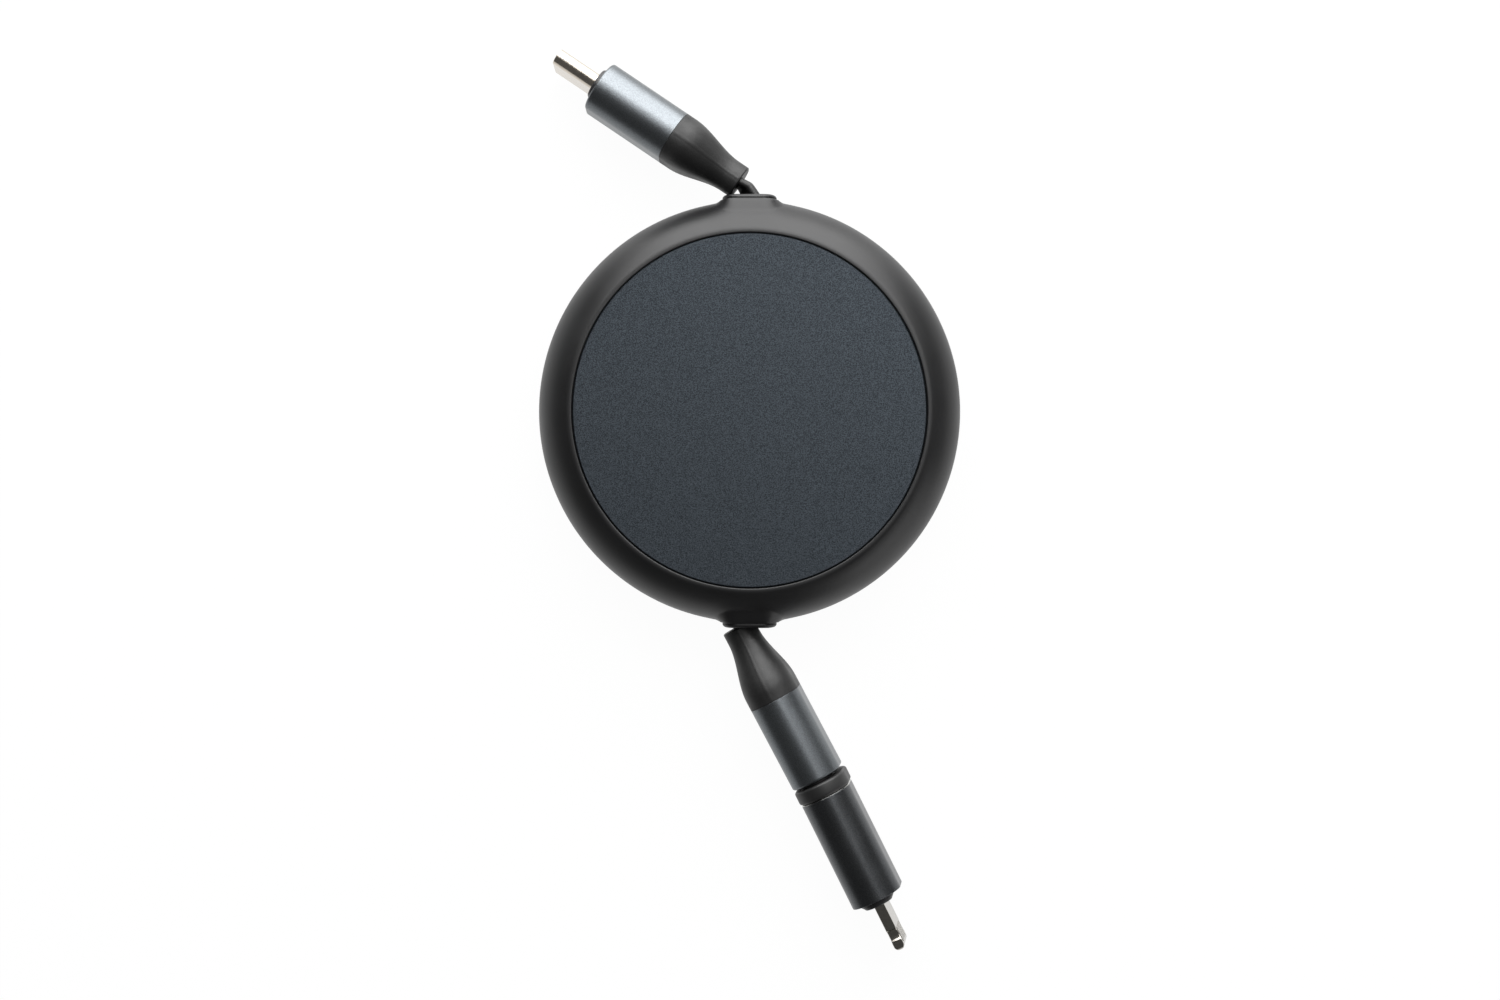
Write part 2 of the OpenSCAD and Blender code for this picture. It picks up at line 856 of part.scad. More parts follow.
module plug_tip() {
    color(steel)
        difference() {
            stadium(tip_w - tip_t)
                bar_outline(tip_t / 2, tip_z, tip_end, tip_wall / 2);
            obround(tip_t - 2 * tip_wall, tip_w - 2 * tip_wall, tip_z - cut, tip_end + cut);
        }
}

module plug_insert() {
    color(black)
        difference() {
            obround(tip_t - 2 * tip_wall - 2 * seam, tip_w - 2 * tip_wall - 2 * seam,
                    tip_z + seam, tip_end - insert_back);
            translate([-slot_t / 2, -slot_w / 2, tip_end - slot_l])
                cube([slot_t, slot_w, slot_l + cut]);
        }
}

// Two rows of contact strips on the walls of the slot
module plug_contacts() {
    color(brass)
        for (side = [-1, 1])
            for (i = [0 : contact_count - 1])
                translate([side * (slot_t - contact_t) / 2,
                           (i - (contact_count - 1) / 2) * contact_pitch,
                           tip_end - slot_l + contact_l / 2])
                    cube([contact_t, contact_w, contact_l], center = true);
}

module plug_a_boot() { at_plug_a() boot(); }
module plug_a_sleeve() { at_plug_a() plug_sleeve(); }
module plug_a_core() { at_plug_a() plug_core(); }
module plug_a_collar() { at_plug_a() plug_collar(); }
module plug_a_tip() { at_plug_a() plug_tip(); }
module plug_a_insert() { at_plug_a() plug_insert(); }
module plug_a_contacts() { at_plug_a() plug_contacts(); }
module plug_b_boot() { at_plug_b() boot(); }
module plug_b_sleeve() { at_plug_b() plug_sleeve(); }
module plug_b_core() { at_plug_b() plug_core(); }
module plug_b_collar() { at_plug_b() plug_collar(); }
module plug_b_tip() { at_plug_b() plug_tip(); }
module plug_b_insert() { at_plug_b() plug_insert(); }
module plug_b_contacts() { at_plug_b() plug_contacts(); }

// Adapter, in its own frame: z = 0 at the open face of its ring

module adapter_ring() {
    color(black)
        at_adapter()
            difference() {
                union() {
                    stadium(plug_core)
                        bar_outline(sleeve_t / 2 + ring_proud, 0, ring_l - seam, ring_edge);
                    obround(inner_t, inner_w, ring_l / 2, ring_l + ring_spigot);
                }
                obround(collar_recess_t, collar_recess_w, -cut, collar_recess);
                obround(socket_t, socket_w, -cut, ring_l + ring_spigot + cut);
            }
}

module adapter_sleeve() {
    color(charcoal)
        at_adapter()
            sleeve(adapter_z, adapter_end);
}

module adapter_socket() {
    color(steel)
        at_adapter()
            difference() {
                obround(tip_t + 2 * (socket_gap + socket_wall), tip_w + 2 * (socket_gap + socket_wall),
                        socket_z, socket_end);
                obround(tip_t + 2 * socket_gap, tip_w + 2 * socket_gap, socket_z - cut, socket_end + cut);
            }
}

module adapter_tongue() {
    color(black)
        at_adapter()
            translate([-tongue_thick / 2, -tongue_w / 2, tongue_front])
                cube([tongue_thick, tongue_w, socket_end + seam - tongue_front]);
}

// Moulding that fills the sleeve round the socket and the back of the tab
module adapter_core() {
    color(charcoal)
        at_adapter()
            difference() {
                obround(inner_t, inner_w, ring_l + ring_spigot + seam, adapter_end - collar_in - seam);
                obround(socket_t, socket_w, -cut, socket_end + 2 * seam);
                translate([-tab_t / 2 - seam, -tab_w / 2 - seam, adapter_end - tab_in])
                    cube([tab_t + 2 * seam, tab_w + 2 * seam, tab_in + cut]);
            }
}

module adapter_collar() {
    color(black)
        at_adapter()
            difference() {
                union() {
                    obround(inner_t, inner_w, adapter_end - collar_in, adapter_end - sleeve_edge / 2);
                    obround(front_collar_t, collar_w,
                            adapter_end - collar_in, adapter_end + front_collar_out);
                }
                translate([-tab_t / 2 - seam, -tab_w / 2 - seam, adapter_end - tab_in])
                    cube([tab_t + 2 * seam, tab_w + 2 * seam, tab_in + front_collar_out + cut]);
            }
}

// Flat tab with a round end and a notch in each narrow edge
module adapter_tab() {
    tab_z = adapter_end - tab_in + seam;
    nose_r = tab_t / 2;
    color(steel)
        at_adapter()
            difference() {
                intersection() {
                    translate([0, tab_w / 2, 0])
                        rotate([90, 0, 0])
                            linear_extrude(tab_w) {
                                translate([-tab_t / 2, tab_z])
                                    square([tab_t, tab_end - nose_r - tab_z]);
                                translate([0, tab_end - nose_r])
                                    circle(nose_r);
                            }
                    rotate([90, 0, 90])
                        translate([0, 0, -tab_t])
                            linear_extrude(2 * tab_t) {
                                translate([-tab_w / 2, tab_z])
                                    square([tab_w, tab_end - nose_r - tab_z]);
                                for (side = [-1, 1])
                                    translate([side * (tab_w / 2 - nose_r), tab_end - nose_r])
                                        circle(nose_r);
                                translate([-tab_w / 2 + nose_r, tab_z])
                                    square([tab_w - 2 * nose_r, tab_end - tab_z]);
                            }
                }
                for (side = [-1, 1])
                    translate([0, side * tab_w / 2, adapter_end + front_collar_out + notch_at])
                        cube([tab_t / 2, 2 * notch_d, notch_l], center = true);
            }
}

// Contact pads on both faces of the tab
module adapter_contacts() {
    color(brass)
        at_adapter()
            for (side = [-1, 1])
                for (i = [0 : pad_count - 1])
                    translate([side * (tab_t + pad_t) / 2,
                               (i - (pad_count - 1) / 2) * pad_pitch,
                               tab_end - pad_from_end - pad_l / 2])
                        cube([pad_t, pad_w, pad_l], center = true);
}

bottom_shell();
top_shell();
face_plate();
plate_adhesive();
centre_screw();
pawl_pin();
spool();
spool_cap();
mainspring();
wound_cable();
cable_lead_a();
cable_lead_b();
ratchet_pawl();
pawl_spring();
plug_a_boot();
plug_a_sleeve();
plug_a_core();
plug_a_collar();
plug_a_tip();
plug_a_insert();
plug_a_contacts();
plug_b_boot();
plug_b_sleeve();
plug_b_core();
plug_b_collar();
plug_b_tip();
plug_b_insert();
plug_b_contacts();
adapter_ring();
adapter_sleeve();
adapter_socket();
adapter_tongue();
adapter_core();
adapter_collar();
adapter_tab();
adapter_contacts();
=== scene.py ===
"""Retractable charging cable: a round winder, two plugs on a flat cable and a slide-on adapter.

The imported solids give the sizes, the fits and the joints. This file gives every piece its moulded,
blasted or polished surface, and the plain studio that the object lies in.
"""
import json
import math

import bmesh
import bpy
from bpy.props import FloatProperty, FloatVectorProperty, IntProperty, PointerProperty
from mathutils import Matrix, Vector


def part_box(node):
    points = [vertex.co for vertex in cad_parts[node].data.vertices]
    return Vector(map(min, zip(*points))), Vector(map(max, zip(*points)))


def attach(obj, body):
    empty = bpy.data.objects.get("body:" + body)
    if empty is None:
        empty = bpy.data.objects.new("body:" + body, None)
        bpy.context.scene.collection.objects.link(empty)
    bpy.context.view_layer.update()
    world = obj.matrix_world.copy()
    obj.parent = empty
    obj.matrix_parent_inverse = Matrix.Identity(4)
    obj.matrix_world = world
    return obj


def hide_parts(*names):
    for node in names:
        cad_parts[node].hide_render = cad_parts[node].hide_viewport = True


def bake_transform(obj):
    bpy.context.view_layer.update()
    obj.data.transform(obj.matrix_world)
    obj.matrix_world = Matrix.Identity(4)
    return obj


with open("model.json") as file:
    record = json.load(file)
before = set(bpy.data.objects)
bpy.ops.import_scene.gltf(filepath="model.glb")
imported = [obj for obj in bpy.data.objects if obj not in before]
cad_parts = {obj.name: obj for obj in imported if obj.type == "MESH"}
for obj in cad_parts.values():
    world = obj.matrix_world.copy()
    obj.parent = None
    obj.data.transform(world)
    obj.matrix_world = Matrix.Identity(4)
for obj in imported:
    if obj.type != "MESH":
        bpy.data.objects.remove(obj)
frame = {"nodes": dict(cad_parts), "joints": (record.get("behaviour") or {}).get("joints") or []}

bl_info = {
    "name": "Retractable charging cable",
    "version": (1, 0, 0),
    "blender": (4, 5, 0),
    "location": "View3D > Sidebar > Cable",
    "description": "Surfaces and studio of a retractable charging cable with a slide-on adapter",
    "category": "Object",
}

MM = 0.001
UP = Vector((0, 0, 1))

# Box of the solids before anything is added
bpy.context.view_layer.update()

# Height of the winder and radius of its rim, from the frame
HOUSING_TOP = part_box("top_shell")[1].z
MID_Z = HOUSING_TOP / 2
HOUSING_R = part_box("top_shell")[1].x

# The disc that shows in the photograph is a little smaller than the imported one
FACE_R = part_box("face_plate")[1].x - 0.33 * MM

# Mouth a is the upper one in the photograph and mouth b the lower one, half a turn round
MOUTH_TURN = {"a": 0, "b": math.pi}

# Where the cable end of each boot lies from the middle of its mouth's lip, and how the plug lies there
BOOT_AT = {"a": (-1.38 * MM, 1.9 * MM), "b": (1.6 * MM, -0.04 * MM)}
TILT = {"a": math.radians(3.2), "b": math.radians(1.2)}
ROLL = {"a": math.radians(4), "b": math.radians(7)}

# How far the adapter is cocked on its tip
COCK = math.radians(-1.5)

# Route of each lead through its mouth, in mm across and along from the middle of the lip, and its twist
LEAD_ROUTE = {
    "a": [(4.6, -5.3), (2.9, -3.7), (1.7, -2.2), (0.95, -0.9), (0.3, 0), (-0.45, 1.0)],
    "b": [(4.9, -5.2), (3.1, -3.7), (2, -2.5), (1.72, -1.75), (1.7, -0.95)],
}
LEAD_TWIST = {"a": math.radians(24), "b": math.radians(12)}

# How far each lead lies wound on the coil before it leaves, and the steps along its parts
WRAP_ANGLE = math.radians(150)
WRAP_STEPS = 50
CURVE_STEPS = 6
LAST_STEPS = 16

# Room between a piece and the sleeve that it fits in, and round a tip or tab in its collar
FIT = 0.1 * MM
HOLE_ROOM = 0.06 * MM

# How far an edge stops short of the piece beside it, so that no two faces share a plane
SHORT = 0.03 * MM

# Steps of a rounded edge, and cuts across the flat sides of an oval skin
EDGE_STEPS = 5
FLAT_CUTS = 7

# Turn of the winder's skin that is made in narrow steps at each mouth
MOUTH_ANGLE = math.radians(24)


# Colours


def linear(colour):
    """An sRGB hex colour as linear red, green, blue and alpha."""
    parts = [int(colour[i:i + 2], 16) / 255 for i in (1, 3, 5)]
    return [p / 12.92 if p <= 0.04045 else ((p + 0.055) / 1.055) ** 2.4 for p in parts] + [1.0]


def colour_property(name, description, colour):
    return FloatVectorProperty(name=name, description=description, subtype="COLOR", size=4,
                               min=0, max=1, default=linear(colour))


def length_property(name, description, default):
    return FloatProperty(name=name, description=description, unit="LENGTH", precision=5,
                         min=0, default=default)


# Settings


class WinderLook(bpy.types.PropertyGroup):
    """Sizes and colours of the winder."""

    wall: length_property("Wall", "Thickness of the shells", 1.4 * MM)
    rim_flat: length_property("Rim flat", "Width of the flat ring round the disc", 0.55 * MM)
    disc_gap: length_property("Disc gap", "Gap round the disc", 0.07 * MM)
    disc_thickness: length_property("Disc thickness", "Thickness of the disc", 0.8 * MM)
    disc_bevel: length_property("Disc bevel", "Bevel round the edge of the disc", 0.2 * MM)
    recess_depth: length_property("Recess depth", "Depth of the recess under the disc", 0.9 * MM)
    recess_edge: length_property("Recess edge", "Rounding of the edge round the disc", 0.14 * MM)
    crown: length_property("Crown", "Radius between the rim's arc and its flat top", 1.38 * MM)
    roof: length_property("Roof", "Thickness of the roof under the recess", 1.2 * MM)
    parting: length_property("Parting line", "Width and depth of the groove between the shells", 0.2 * MM)
    lip_out: length_property("Lip reach", "How far each lip stands out from the rim", 0.7 * MM)
    lip_width: length_property("Lip width", "Width of each mouth's lip", 7.4 * MM)
    lip_height: length_property("Lip height", "Height of each mouth's lip", 8.4 * MM)
    lip_wall: length_property("Lip wall", "Wall round each mouth", 0.75 * MM)
    lip_corner: length_property("Lip corner", "Corner radius of each lip", 2.2 * MM)
    lip_flank: length_property("Lip flank", "Width of the steep flank at the foot of a lip", 0.75 * MM)
    lip_splay: length_property("Lip splay", "How much wider a lip's foot is than its end", 0.15 * MM)
    lip_curl: length_property("Lip curl", "How far the ends of a lip curl back", 0.12 * MM)
    lip_blend: length_property("Lip blend", "Width of the blend from a lip to the rim", 2.2 * MM)
    bead: length_property("Bead", "Width of the rounded bead on a lip", 0.4 * MM)
    bead_groove: length_property("Bead groove", "Width of the groove behind the bead", 0.2 * MM)
    groove_depth: length_property("Groove depth", "Depth of the groove behind the bead", 0.08 * MM)
    plastic: colour_property("Plastic", "Colour of the moulded shells", "#0e0e0f")
    disc: colour_property("Disc", "Colour of the anodised disc", "#3b4045")


class PlugLook(bpy.types.PropertyGroup):
    """Sizes and colours of the two plugs."""

    thickness: length_property("Sleeve thickness", "Thickness of a plug's sleeve", 7.5 * MM)
    width: length_property("Sleeve width", "Width of a plug's sleeve", 11 * MM)
    length: length_property("Sleeve length", "Length of a plug's sleeve", 12.85 * MM)
    wall: length_property("Sleeve wall", "Wall of the sleeves", 0.6 * MM)
    edge: length_property("Sleeve edge", "Rounding of the sleeves' edges", 0.35 * MM)
    boot_length: length_property("Boot length", "Length of a boot", 11.4 * MM)
    boot_thickness: length_property("Boot thickness", "Thickness of a boot's cable end", 4.8 * MM)
    boot_width: length_property("Boot width", "Width of a boot's cable end", 5.4 * MM)
    boot_edge: length_property("Boot edge", "Rounding of a boot's cable end", 0.2 * MM)
    spigot: length_property("Spigot", "Length of the boot inside its sleeve", 2.5 * MM)
    seam_ridge: length_property("Seam ridge", "Height of the mould seam along a boot", 0.05 * MM)
    cable_thickness: length_property("Cable thickness", "Thickness of the flat cable", 1.3 * MM)
    cable_width: length_property("Cable width", "Width of the flat cable", 3.6 * MM)
    coil_radius: length_property("Coil radius", "Radius at which the leads leave the coil", 23 * MM)
    collar_out: length_property("Collar reach", "How far the collar stands out of the sleeve", 0.5 * MM)
    collar_in: length_property("Collar depth", "How far the collar goes into the sleeve", 1.2 * MM)
    collar_thickness: length_property("Collar thickness", "Thickness of the collar", 4.4 * MM)
    collar_width: length_property("Collar width", "Width of the collar", 9.4 * MM)
    tip_thickness: length_property("Tip thickness", "Thickness of the oval tip", 2.4 * MM)
    tip_width: length_property("Tip width", "Width of the oval tip", 8.25 * MM)
    tip_length: length_property("Tip length", "Length of the oval tip beyond its collar", 6.65 * MM)
    tip_in: length_property("Tip depth", "Length of the oval tip inside the sleeve", 4.5 * MM)
    tip_wall: length_property("Tip wall", "Wall of the oval tip", 0.25 * MM)
    sleeve: colour_property("Sleeve", "Colour of the plugs' anodised sleeves", "#6f7376")
    rubber: colour_property("Boot", "Colour of the boots and the cable", "#121212")
    steel: colour_property("Tip", "Colour of the oval tips", "#d2c9bc")


class AdapterLook(bpy.types.PropertyGroup):
    """Sizes and colours of the adapter."""

    gap: length_property("Gap", "Gap between the plug's sleeve and the adapter", 0.4 * MM)
    ring_length: length_property("Ring length", "Length of the end ring", 2.1 * MM)
    ring_proud: length_property("Ring reach", "How far the ring stands out from the sleeve", 0.15 * MM)
    ring_edge: length_property("Ring edge", "Rounding of the ring's edges", 0.4 * MM)
    ring_spigot: length_property("Ring spigot", "Length of the ring inside the sleeve", 1.5 * MM)
    socket_room: length_property("Socket room", "Room and wall of the socket round the tip", 0.47 * MM)
    length: length_property("Sleeve length", "Length of the adapter's sleeve", 16.5 * MM)
    chamfer: length_property("Chamfer", "Cut chamfer at the rear of the sleeve", 0.14 * MM)
    collar_out: length_property("Collar reach", "How far the front collar stands out", 0.85 * MM)
    collar_thickness: length_property("Collar thickness", "Thickness of the front collar", 4.3 * MM)
    tab_thickness: length_property("Tab thickness", "Thickness of the flat tab", 1.5 * MM)
    tab_width: length_property("Tab width", "Width of the flat tab", 6.7 * MM)
    tab_length: length_property("Tab length", "Length of the flat tab beyond its collar", 7.15 * MM)
    notch_from_collar: length_property("Notch place", "Middle of the notches from the collar", 4.85 * MM)
    notch_length: length_property("Notch length", "Length of the notches", 1.9 * MM)
    notch_depth: length_property("Notch depth", "Depth of the notches", 0.45 * MM)
    sleeve: colour_property("Sleeve", "Colour of the adapter's anodised sleeve", "#57595b")
    ring: colour_property("Ring", "Colour of the end ring", "#1b1b1b")
    tab: colour_property("Tab", "Colour of the flat tab", "#aeaaa2")


class StudioLook(bpy.types.PropertyGroup):
    """Camera and light."""

    camera_height: length_property("Camera height", "Height of the camera above the table", 507 * MM)
    centre_across: FloatProperty(name="Centre across", description="Where the camera looks, across",
                                 unit="LENGTH", default=0.06 * MM)
    centre_along: FloatProperty(name="Centre along", description="Where the camera looks, along",
                                unit="LENGTH", default=-12.59 * MM)
    lens: FloatProperty(name="Lens", description="Focal length in millimetres", default=84.2)
    key_power: FloatProperty(name="Key light", description="Power of the long lamp beyond the top",
                             unit="POWER", default=8.0)
    top_power: FloatProperty(name="Top light", description="Power of the lamp above the top right",
                             unit="POWER", default=0.8)
    side_power: FloatProperty(name="Right light", description="Power of the lamp at the right",
                              unit="POWER", default=0.37)
    room: FloatProperty(name="Room", description="Strength of the light from all round", default=0.1)
    segments: IntProperty(name="Segments", description="Faces round an oval section", default=98, min=14)


# Materials


def add(tree, kind, inputs=None, **settings):
    """Adds a node. Each input takes a value, or the output of another node."""
    made = tree.nodes.new(kind)
    for name, value in settings.items():
        setattr(made, name, value)
    for name, value in (inputs or {}).items():
        if isinstance(value, bpy.types.NodeSocket):
            tree.links.new(value, made.inputs[name])
        else:
            made.inputs[name].default_value = value
    return made


def surface(name, build, *values):
    """The material of that name. It is made once, from a function that fills its nodes."""
    material = bpy.data.materials.get(name)
    if material is None:
        material = bpy.data.materials.new(name)
        material.use_nodes = True
        tree = material.node_tree
        tree.nodes.clear()
        place = add(tree, "ShaderNodeTexCoord").outputs["Object"]
        shader = build(tree, place, *values)
        add(tree, "ShaderNodeOutputMaterial", {"Surface": shader.outputs[0]})
    return material


def two_tones(tree, factor, colour, dark, light, low=0.35, high=0.65):
    """A colour that runs from a darker to a lighter tone of itself as the factor rises."""
    spread = add(tree, "ShaderNodeMapRange", {"Value": factor, "From Min": low, "From Max": high})
    tones = [[c * k for c in colour[:3]] + [1.0] for k in (dark, light)]
    mixed = add(tree, "ShaderNodeMix", {0: spread.outputs[0], 6: tones[0], 7: tones[1]}, data_type="RGBA")
    return mixed.outputs[2]


def blasted_aluminium(tree, place, colour, roughness, grit, sparkle):
    """Bead-blasted and dyed anodised aluminium.

    The blasting leaves pits of 0.05 to 0.1 mm that sparkle one by one. They are drawn about half as
    coarse again, so that they show from half a metre away.
    """
    grains = add(tree, "ShaderNodeTexNoise", {"Vector": place, "Scale": 1 / grit, "Detail": 2.0})
    patches = add(tree, "ShaderNodeTexNoise", {"Vector": place, "Scale": 1 / (6 * MM)})
    tone = two_tones(tree, grains.outputs[0], colour, 1 - sparkle, 1 + sparkle)
    rough = add(tree, "ShaderNodeMapRange", {
        "Value": patches.outputs[0], "From Min": 0.3, "From Max": 0.7,
        "To Min": roughness - 0.02, "To Max": roughness + 0.02})
    bump = add(tree, "ShaderNodeBump", {"Height": grains.outputs[0], "Strength": 0.3,
                                        "Distance": 0.03 * MM})
    return add(tree, "ShaderNodeBsdfPrincipled", {
        "Base Color": tone, "Metallic": 1.0, "Roughness": rough.outputs[0], "Normal": bump.outputs[0]})


def satin_plastic(tree, place, colour, roughness, texture):
    """Moulded ABS from a lightly spark-textured tool: a soft satin shine with hardly any grain."""
    grain = add(tree, "ShaderNodeTexNoise", {"Vector": place, "Scale": 1 / texture, "Detail": 2.0})
    clouds = add(tree, "ShaderNodeTexNoise", {"Vector": place, "Scale": 1 / (9 * MM)})
    tone = two_tones(tree, clouds.outputs[0], colour, 0.93, 1.07)
    rough = add(tree, "ShaderNodeMapRange", {
        "Value": clouds.outputs[0], "From Min": 0.3, "From Max": 0.7,
        "To Min": roughness - 0.03, "To Max": roughness + 0.03})
    bump = add(tree, "ShaderNodeBump", {"Height": grain.outputs[0], "Strength": 0.12,
                                        "Distance": 0.02 * MM})
    return add(tree, "ShaderNodeBsdfPrincipled", {
        "Base Color": tone, "IOR": 1.5, "Roughness": rough.outputs[0], "Normal": bump.outputs[0]})


def matt_elastomer(tree, place, colour, roughness, dents):
    """Moulded thermoplastic elastomer: matt and slightly uneven, with paler rubbed patches."""
    grain = add(tree, "ShaderNodeTexNoise", {"Vector": place, "Scale": 1 / (0.13 * MM), "Detail": 2.0})
    waves = add(tree, "ShaderNodeTexNoise", {"Vector": place, "Scale": 1 / (3 * MM)})
    rubbed = add(tree, "ShaderNodeMath", {0: waves.outputs[0], 1: grain.outputs[0]}, operation="MULTIPLY")
    tone = two_tones(tree, rubbed.outputs[0], colour, 0.8, 2.3, 0.2, 0.42)
    rough = add(tree, "ShaderNodeMapRange", {
        "Value": waves.outputs[0], "From Min": 0.3, "From Max": 0.7,
        "To Min": roughness + 0.06, "To Max": roughness - 0.06})
    soft = add(tree, "ShaderNodeBump", {"Height": waves.outputs[0], "Strength": 0.5,
                                        "Distance": dents})
    bump = add(tree, "ShaderNodeBump", {"Height": grain.outputs[0], "Strength": 0.5,
                                        "Distance": 0.03 * MM, "Normal": soft.outputs[0]})
    return add(tree, "ShaderNodeBsdfPrincipled", {
        "Base Color": tone, "IOR": 1.5, "Roughness": rough.outputs[0], "Normal": bump.outputs[0]})


def drawn_metal(tree, place, colour, roughness, scratch):
    """Drawn or plated metal: bright, with a slight unevenness from the tool."""
    marks = add(tree, "ShaderNodeTexNoise", {"Vector": place, "Scale": 1 / scratch, "Detail": 3.0})
    tone = two_tones(tree, marks.outputs[0], colour, 0.94, 1.04)
    rough = add(tree, "ShaderNodeMapRange", {
        "Value": marks.outputs[0], "From Min": 0.3, "From Max": 0.7,
        "To Min": roughness * 0.85, "To Max": roughness * 1.15})
    bump = add(tree, "ShaderNodeBump", {"Height": marks.outputs[0], "Strength": 0.1,
                                        "Distance": 0.01 * MM})
    return add(tree, "ShaderNodeBsdfPrincipled", {
        "Base Color": tone, "Metallic": 1.0, "Roughness": rough.outputs[0], "Normal": bump.outputs[0]})


def foam_tape(tree, place, colour):
    """Thin acrylic foam tape: dead matt, with open cells of about 0.3 mm."""
    cells = add(tree, "ShaderNodeTexVoronoi", {"Vector": place, "Scale": 1 / (0.3 * MM)})
    tone = two_tones(tree, cells.outputs[0], colour, 0.8, 1.15)
    bump = add(tree, "ShaderNodeBump", {"Height": cells.outputs[0], "Strength": 0.4,
                                        "Distance": 0.03 * MM})
    return add(tree, "ShaderNodeBsdfPrincipled", {
        "Base Color": tone, "Roughness": 0.9, "Normal": bump.outputs[0]})


def shell_plastic():
    """Moulded ABS of the shells: black, with a soft broad light along the rim and no grain."""
    look = bpy.context.scene.winder_look
    return surface("satin_black_abs", satin_plastic, look.plastic, 0.42, 0.12 * MM)


def disc_metal():
    """Blasted, dyed aluminium of the disc: matt slate that breaks up into fine speckle."""
    look = bpy.context.scene.winder_look
    return surface("slate_blasted_aluminium", blasted_aluminium, look.disc, 0.45, 0.13 * MM, 0.5)


def sleeve_metal():
    """Blasted, dyed aluminium of the plugs: one bright band between dark flanks."""
    look = bpy.context.scene.plug_look
    return surface("gunmetal_blasted_aluminium", blasted_aluminium, look.sleeve, 0.36, 0.12 * MM, 0.2)


def adapter_metal():
    """The same finish dyed darker: charcoal, with a dull band of light."""
    look = bpy.context.scene.adapter_look
    return surface("charcoal_blasted_aluminium", blasted_aluminium, look.sleeve, 0.33, 0.12 * MM, 0.24)


def boot_rubber():
    """Moulded elastomer of the boots: matt black, with slight dents that break the light."""
    look = bpy.context.scene.plug_look
    return surface("matt_black_elastomer", matt_elastomer, look.rubber, 0.5, 0.12 * MM)


def cable_jacket():
    """Extruded elastomer of the cable: as the boots but smoother, with a thin edge light."""
    look = bpy.context.scene.plug_look
    return surface("cable_jacket_elastomer", matt_elastomer, look.rubber, 0.46, 0.03 * MM)


def tip_steel():
    """Polished drawn steel of the tips: mirrors the white room in pale and dark bands."""
    look = bpy.context.scene.plug_look
    return surface("polished_drawn_steel", drawn_metal, look.steel, 0.18, 0.8 * MM)


def tab_metal():
    """Nickel plate of the flat tab: satin, and greyer than the steel."""
    look = bpy.context.scene.adapter_look
    return surface("satin_nickel_plate", drawn_metal, look.tab, 0.17, 0.3 * MM)


def ring_plastic():
    """Moulded ABS of the end ring: dark grey and dull, so that it parts the two sleeves."""
    look = bpy.context.scene.adapter_look
    return surface("satin_grey_abs", satin_plastic, look.ring, 0.45, 0.12 * MM)


def collar_plastic():
    """Moulded ABS of the collars: near black, with a faint light at the edge."""
    return surface("collar_black_abs", satin_plastic, linear("#202021"), 0.4, 0.15 * MM)


def cut_aluminium():
    """Aluminium with its dyed skin cut away: a thin bright line."""
    return surface("diamond_cut_aluminium", drawn_metal, linear("#b4b4b1"), 0.24, 0.2 * MM)


def dress(node, material):
    """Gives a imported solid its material."""
    slots = frame["nodes"][node].data.materials
    slots.clear()
    slots.append(material)


# Shapes


def new_piece(name, mesh, material, body, nodes=(), sharp=35):
    """Turns a bmesh into a piece of the object that rides on a body, and may stand for solids."""
    mesh.normal_update()
    bmesh.ops.recalc_face_normals(mesh, faces=mesh.faces)
    data = bpy.data.meshes.new(name)
    mesh.to_mesh(data)
    mesh.free()
    data.shade_smooth()
    data.set_sharp_from_angle(angle=math.radians(sharp))
    data.materials.append(material)
    piece = bpy.data.objects.new(name, data)
    bpy.context.scene.collection.objects.link(piece)
    weighted = piece.modifiers.new("even_flats", "WEIGHTED_NORMAL")
    weighted.keep_sharp = True
    if body:
        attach(piece, body)
    if nodes:
        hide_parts(*nodes)
    return piece


def oval(mesh, z, across, along, corner=None, steps=None):
    """One closed loop: a rectangle with round corners, or an oval where no corner is given."""
    radius = across / 2 if corner is None else corner
    steps = steps or bpy.context.scene.studio_look.segments
    made = bmesh.ops.create_circle(mesh, cap_ends=False, segments=steps, radius=radius)["verts"]
    for vert in made:
        if abs(vert.co.x) > radius / steps:
            vert.co.x += math.copysign(across / 2 - radius, vert.co.x)
        vert.co.y += math.copysign(along / 2 - radius, vert.co.y)
        vert.co.z = z
    return sorted({edge for vert in made for edge in vert.link_edges}, key=lambda edge: edge.index)


def loft(levels, joined=False):
    """Skins a list of levels, each a height, a size across and along, and perhaps a corner radius.

    The skin is closed by a face at both ends, or runs back to its first level where it is joined.
    """
    mesh = bmesh.new()
    # Two loops in one plane can be bridged crosswise, so all are bridged a step apart and then moved
    step = 10 * MM
    loops = [oval(mesh, i * step, *level[1:]) for i, level in enumerate(levels)]
    rings = [{vert for edge in loop for vert in edge.verts} for loop in loops]
    pairs = list(zip(loops, loops[1:]))
    if joined:
        pairs.append((loops[-1], loops[0]))
    for low, high in pairs:
        bmesh.ops.bridge_loops(mesh, edges=low + high)
    if not joined:
        for loop in (loops[0], loops[-1]):
            bmesh.ops.contextual_create(mesh, geom=loop)
    for ring, level in zip(rings, levels):
        for vert in ring:
            vert.co.z = level[0]
    across_flats = [e for e in mesh.edges if e.verts[0].co.y * e.verts[1].co.y < 0
                    and abs(e.verts[0].co.x - e.verts[1].co.x) < 1e-6]
    bmesh.ops.subdivide_edges(mesh, edges=across_flats, cuts=FLAT_CUTS, use_grid_fill=True)
    return mesh


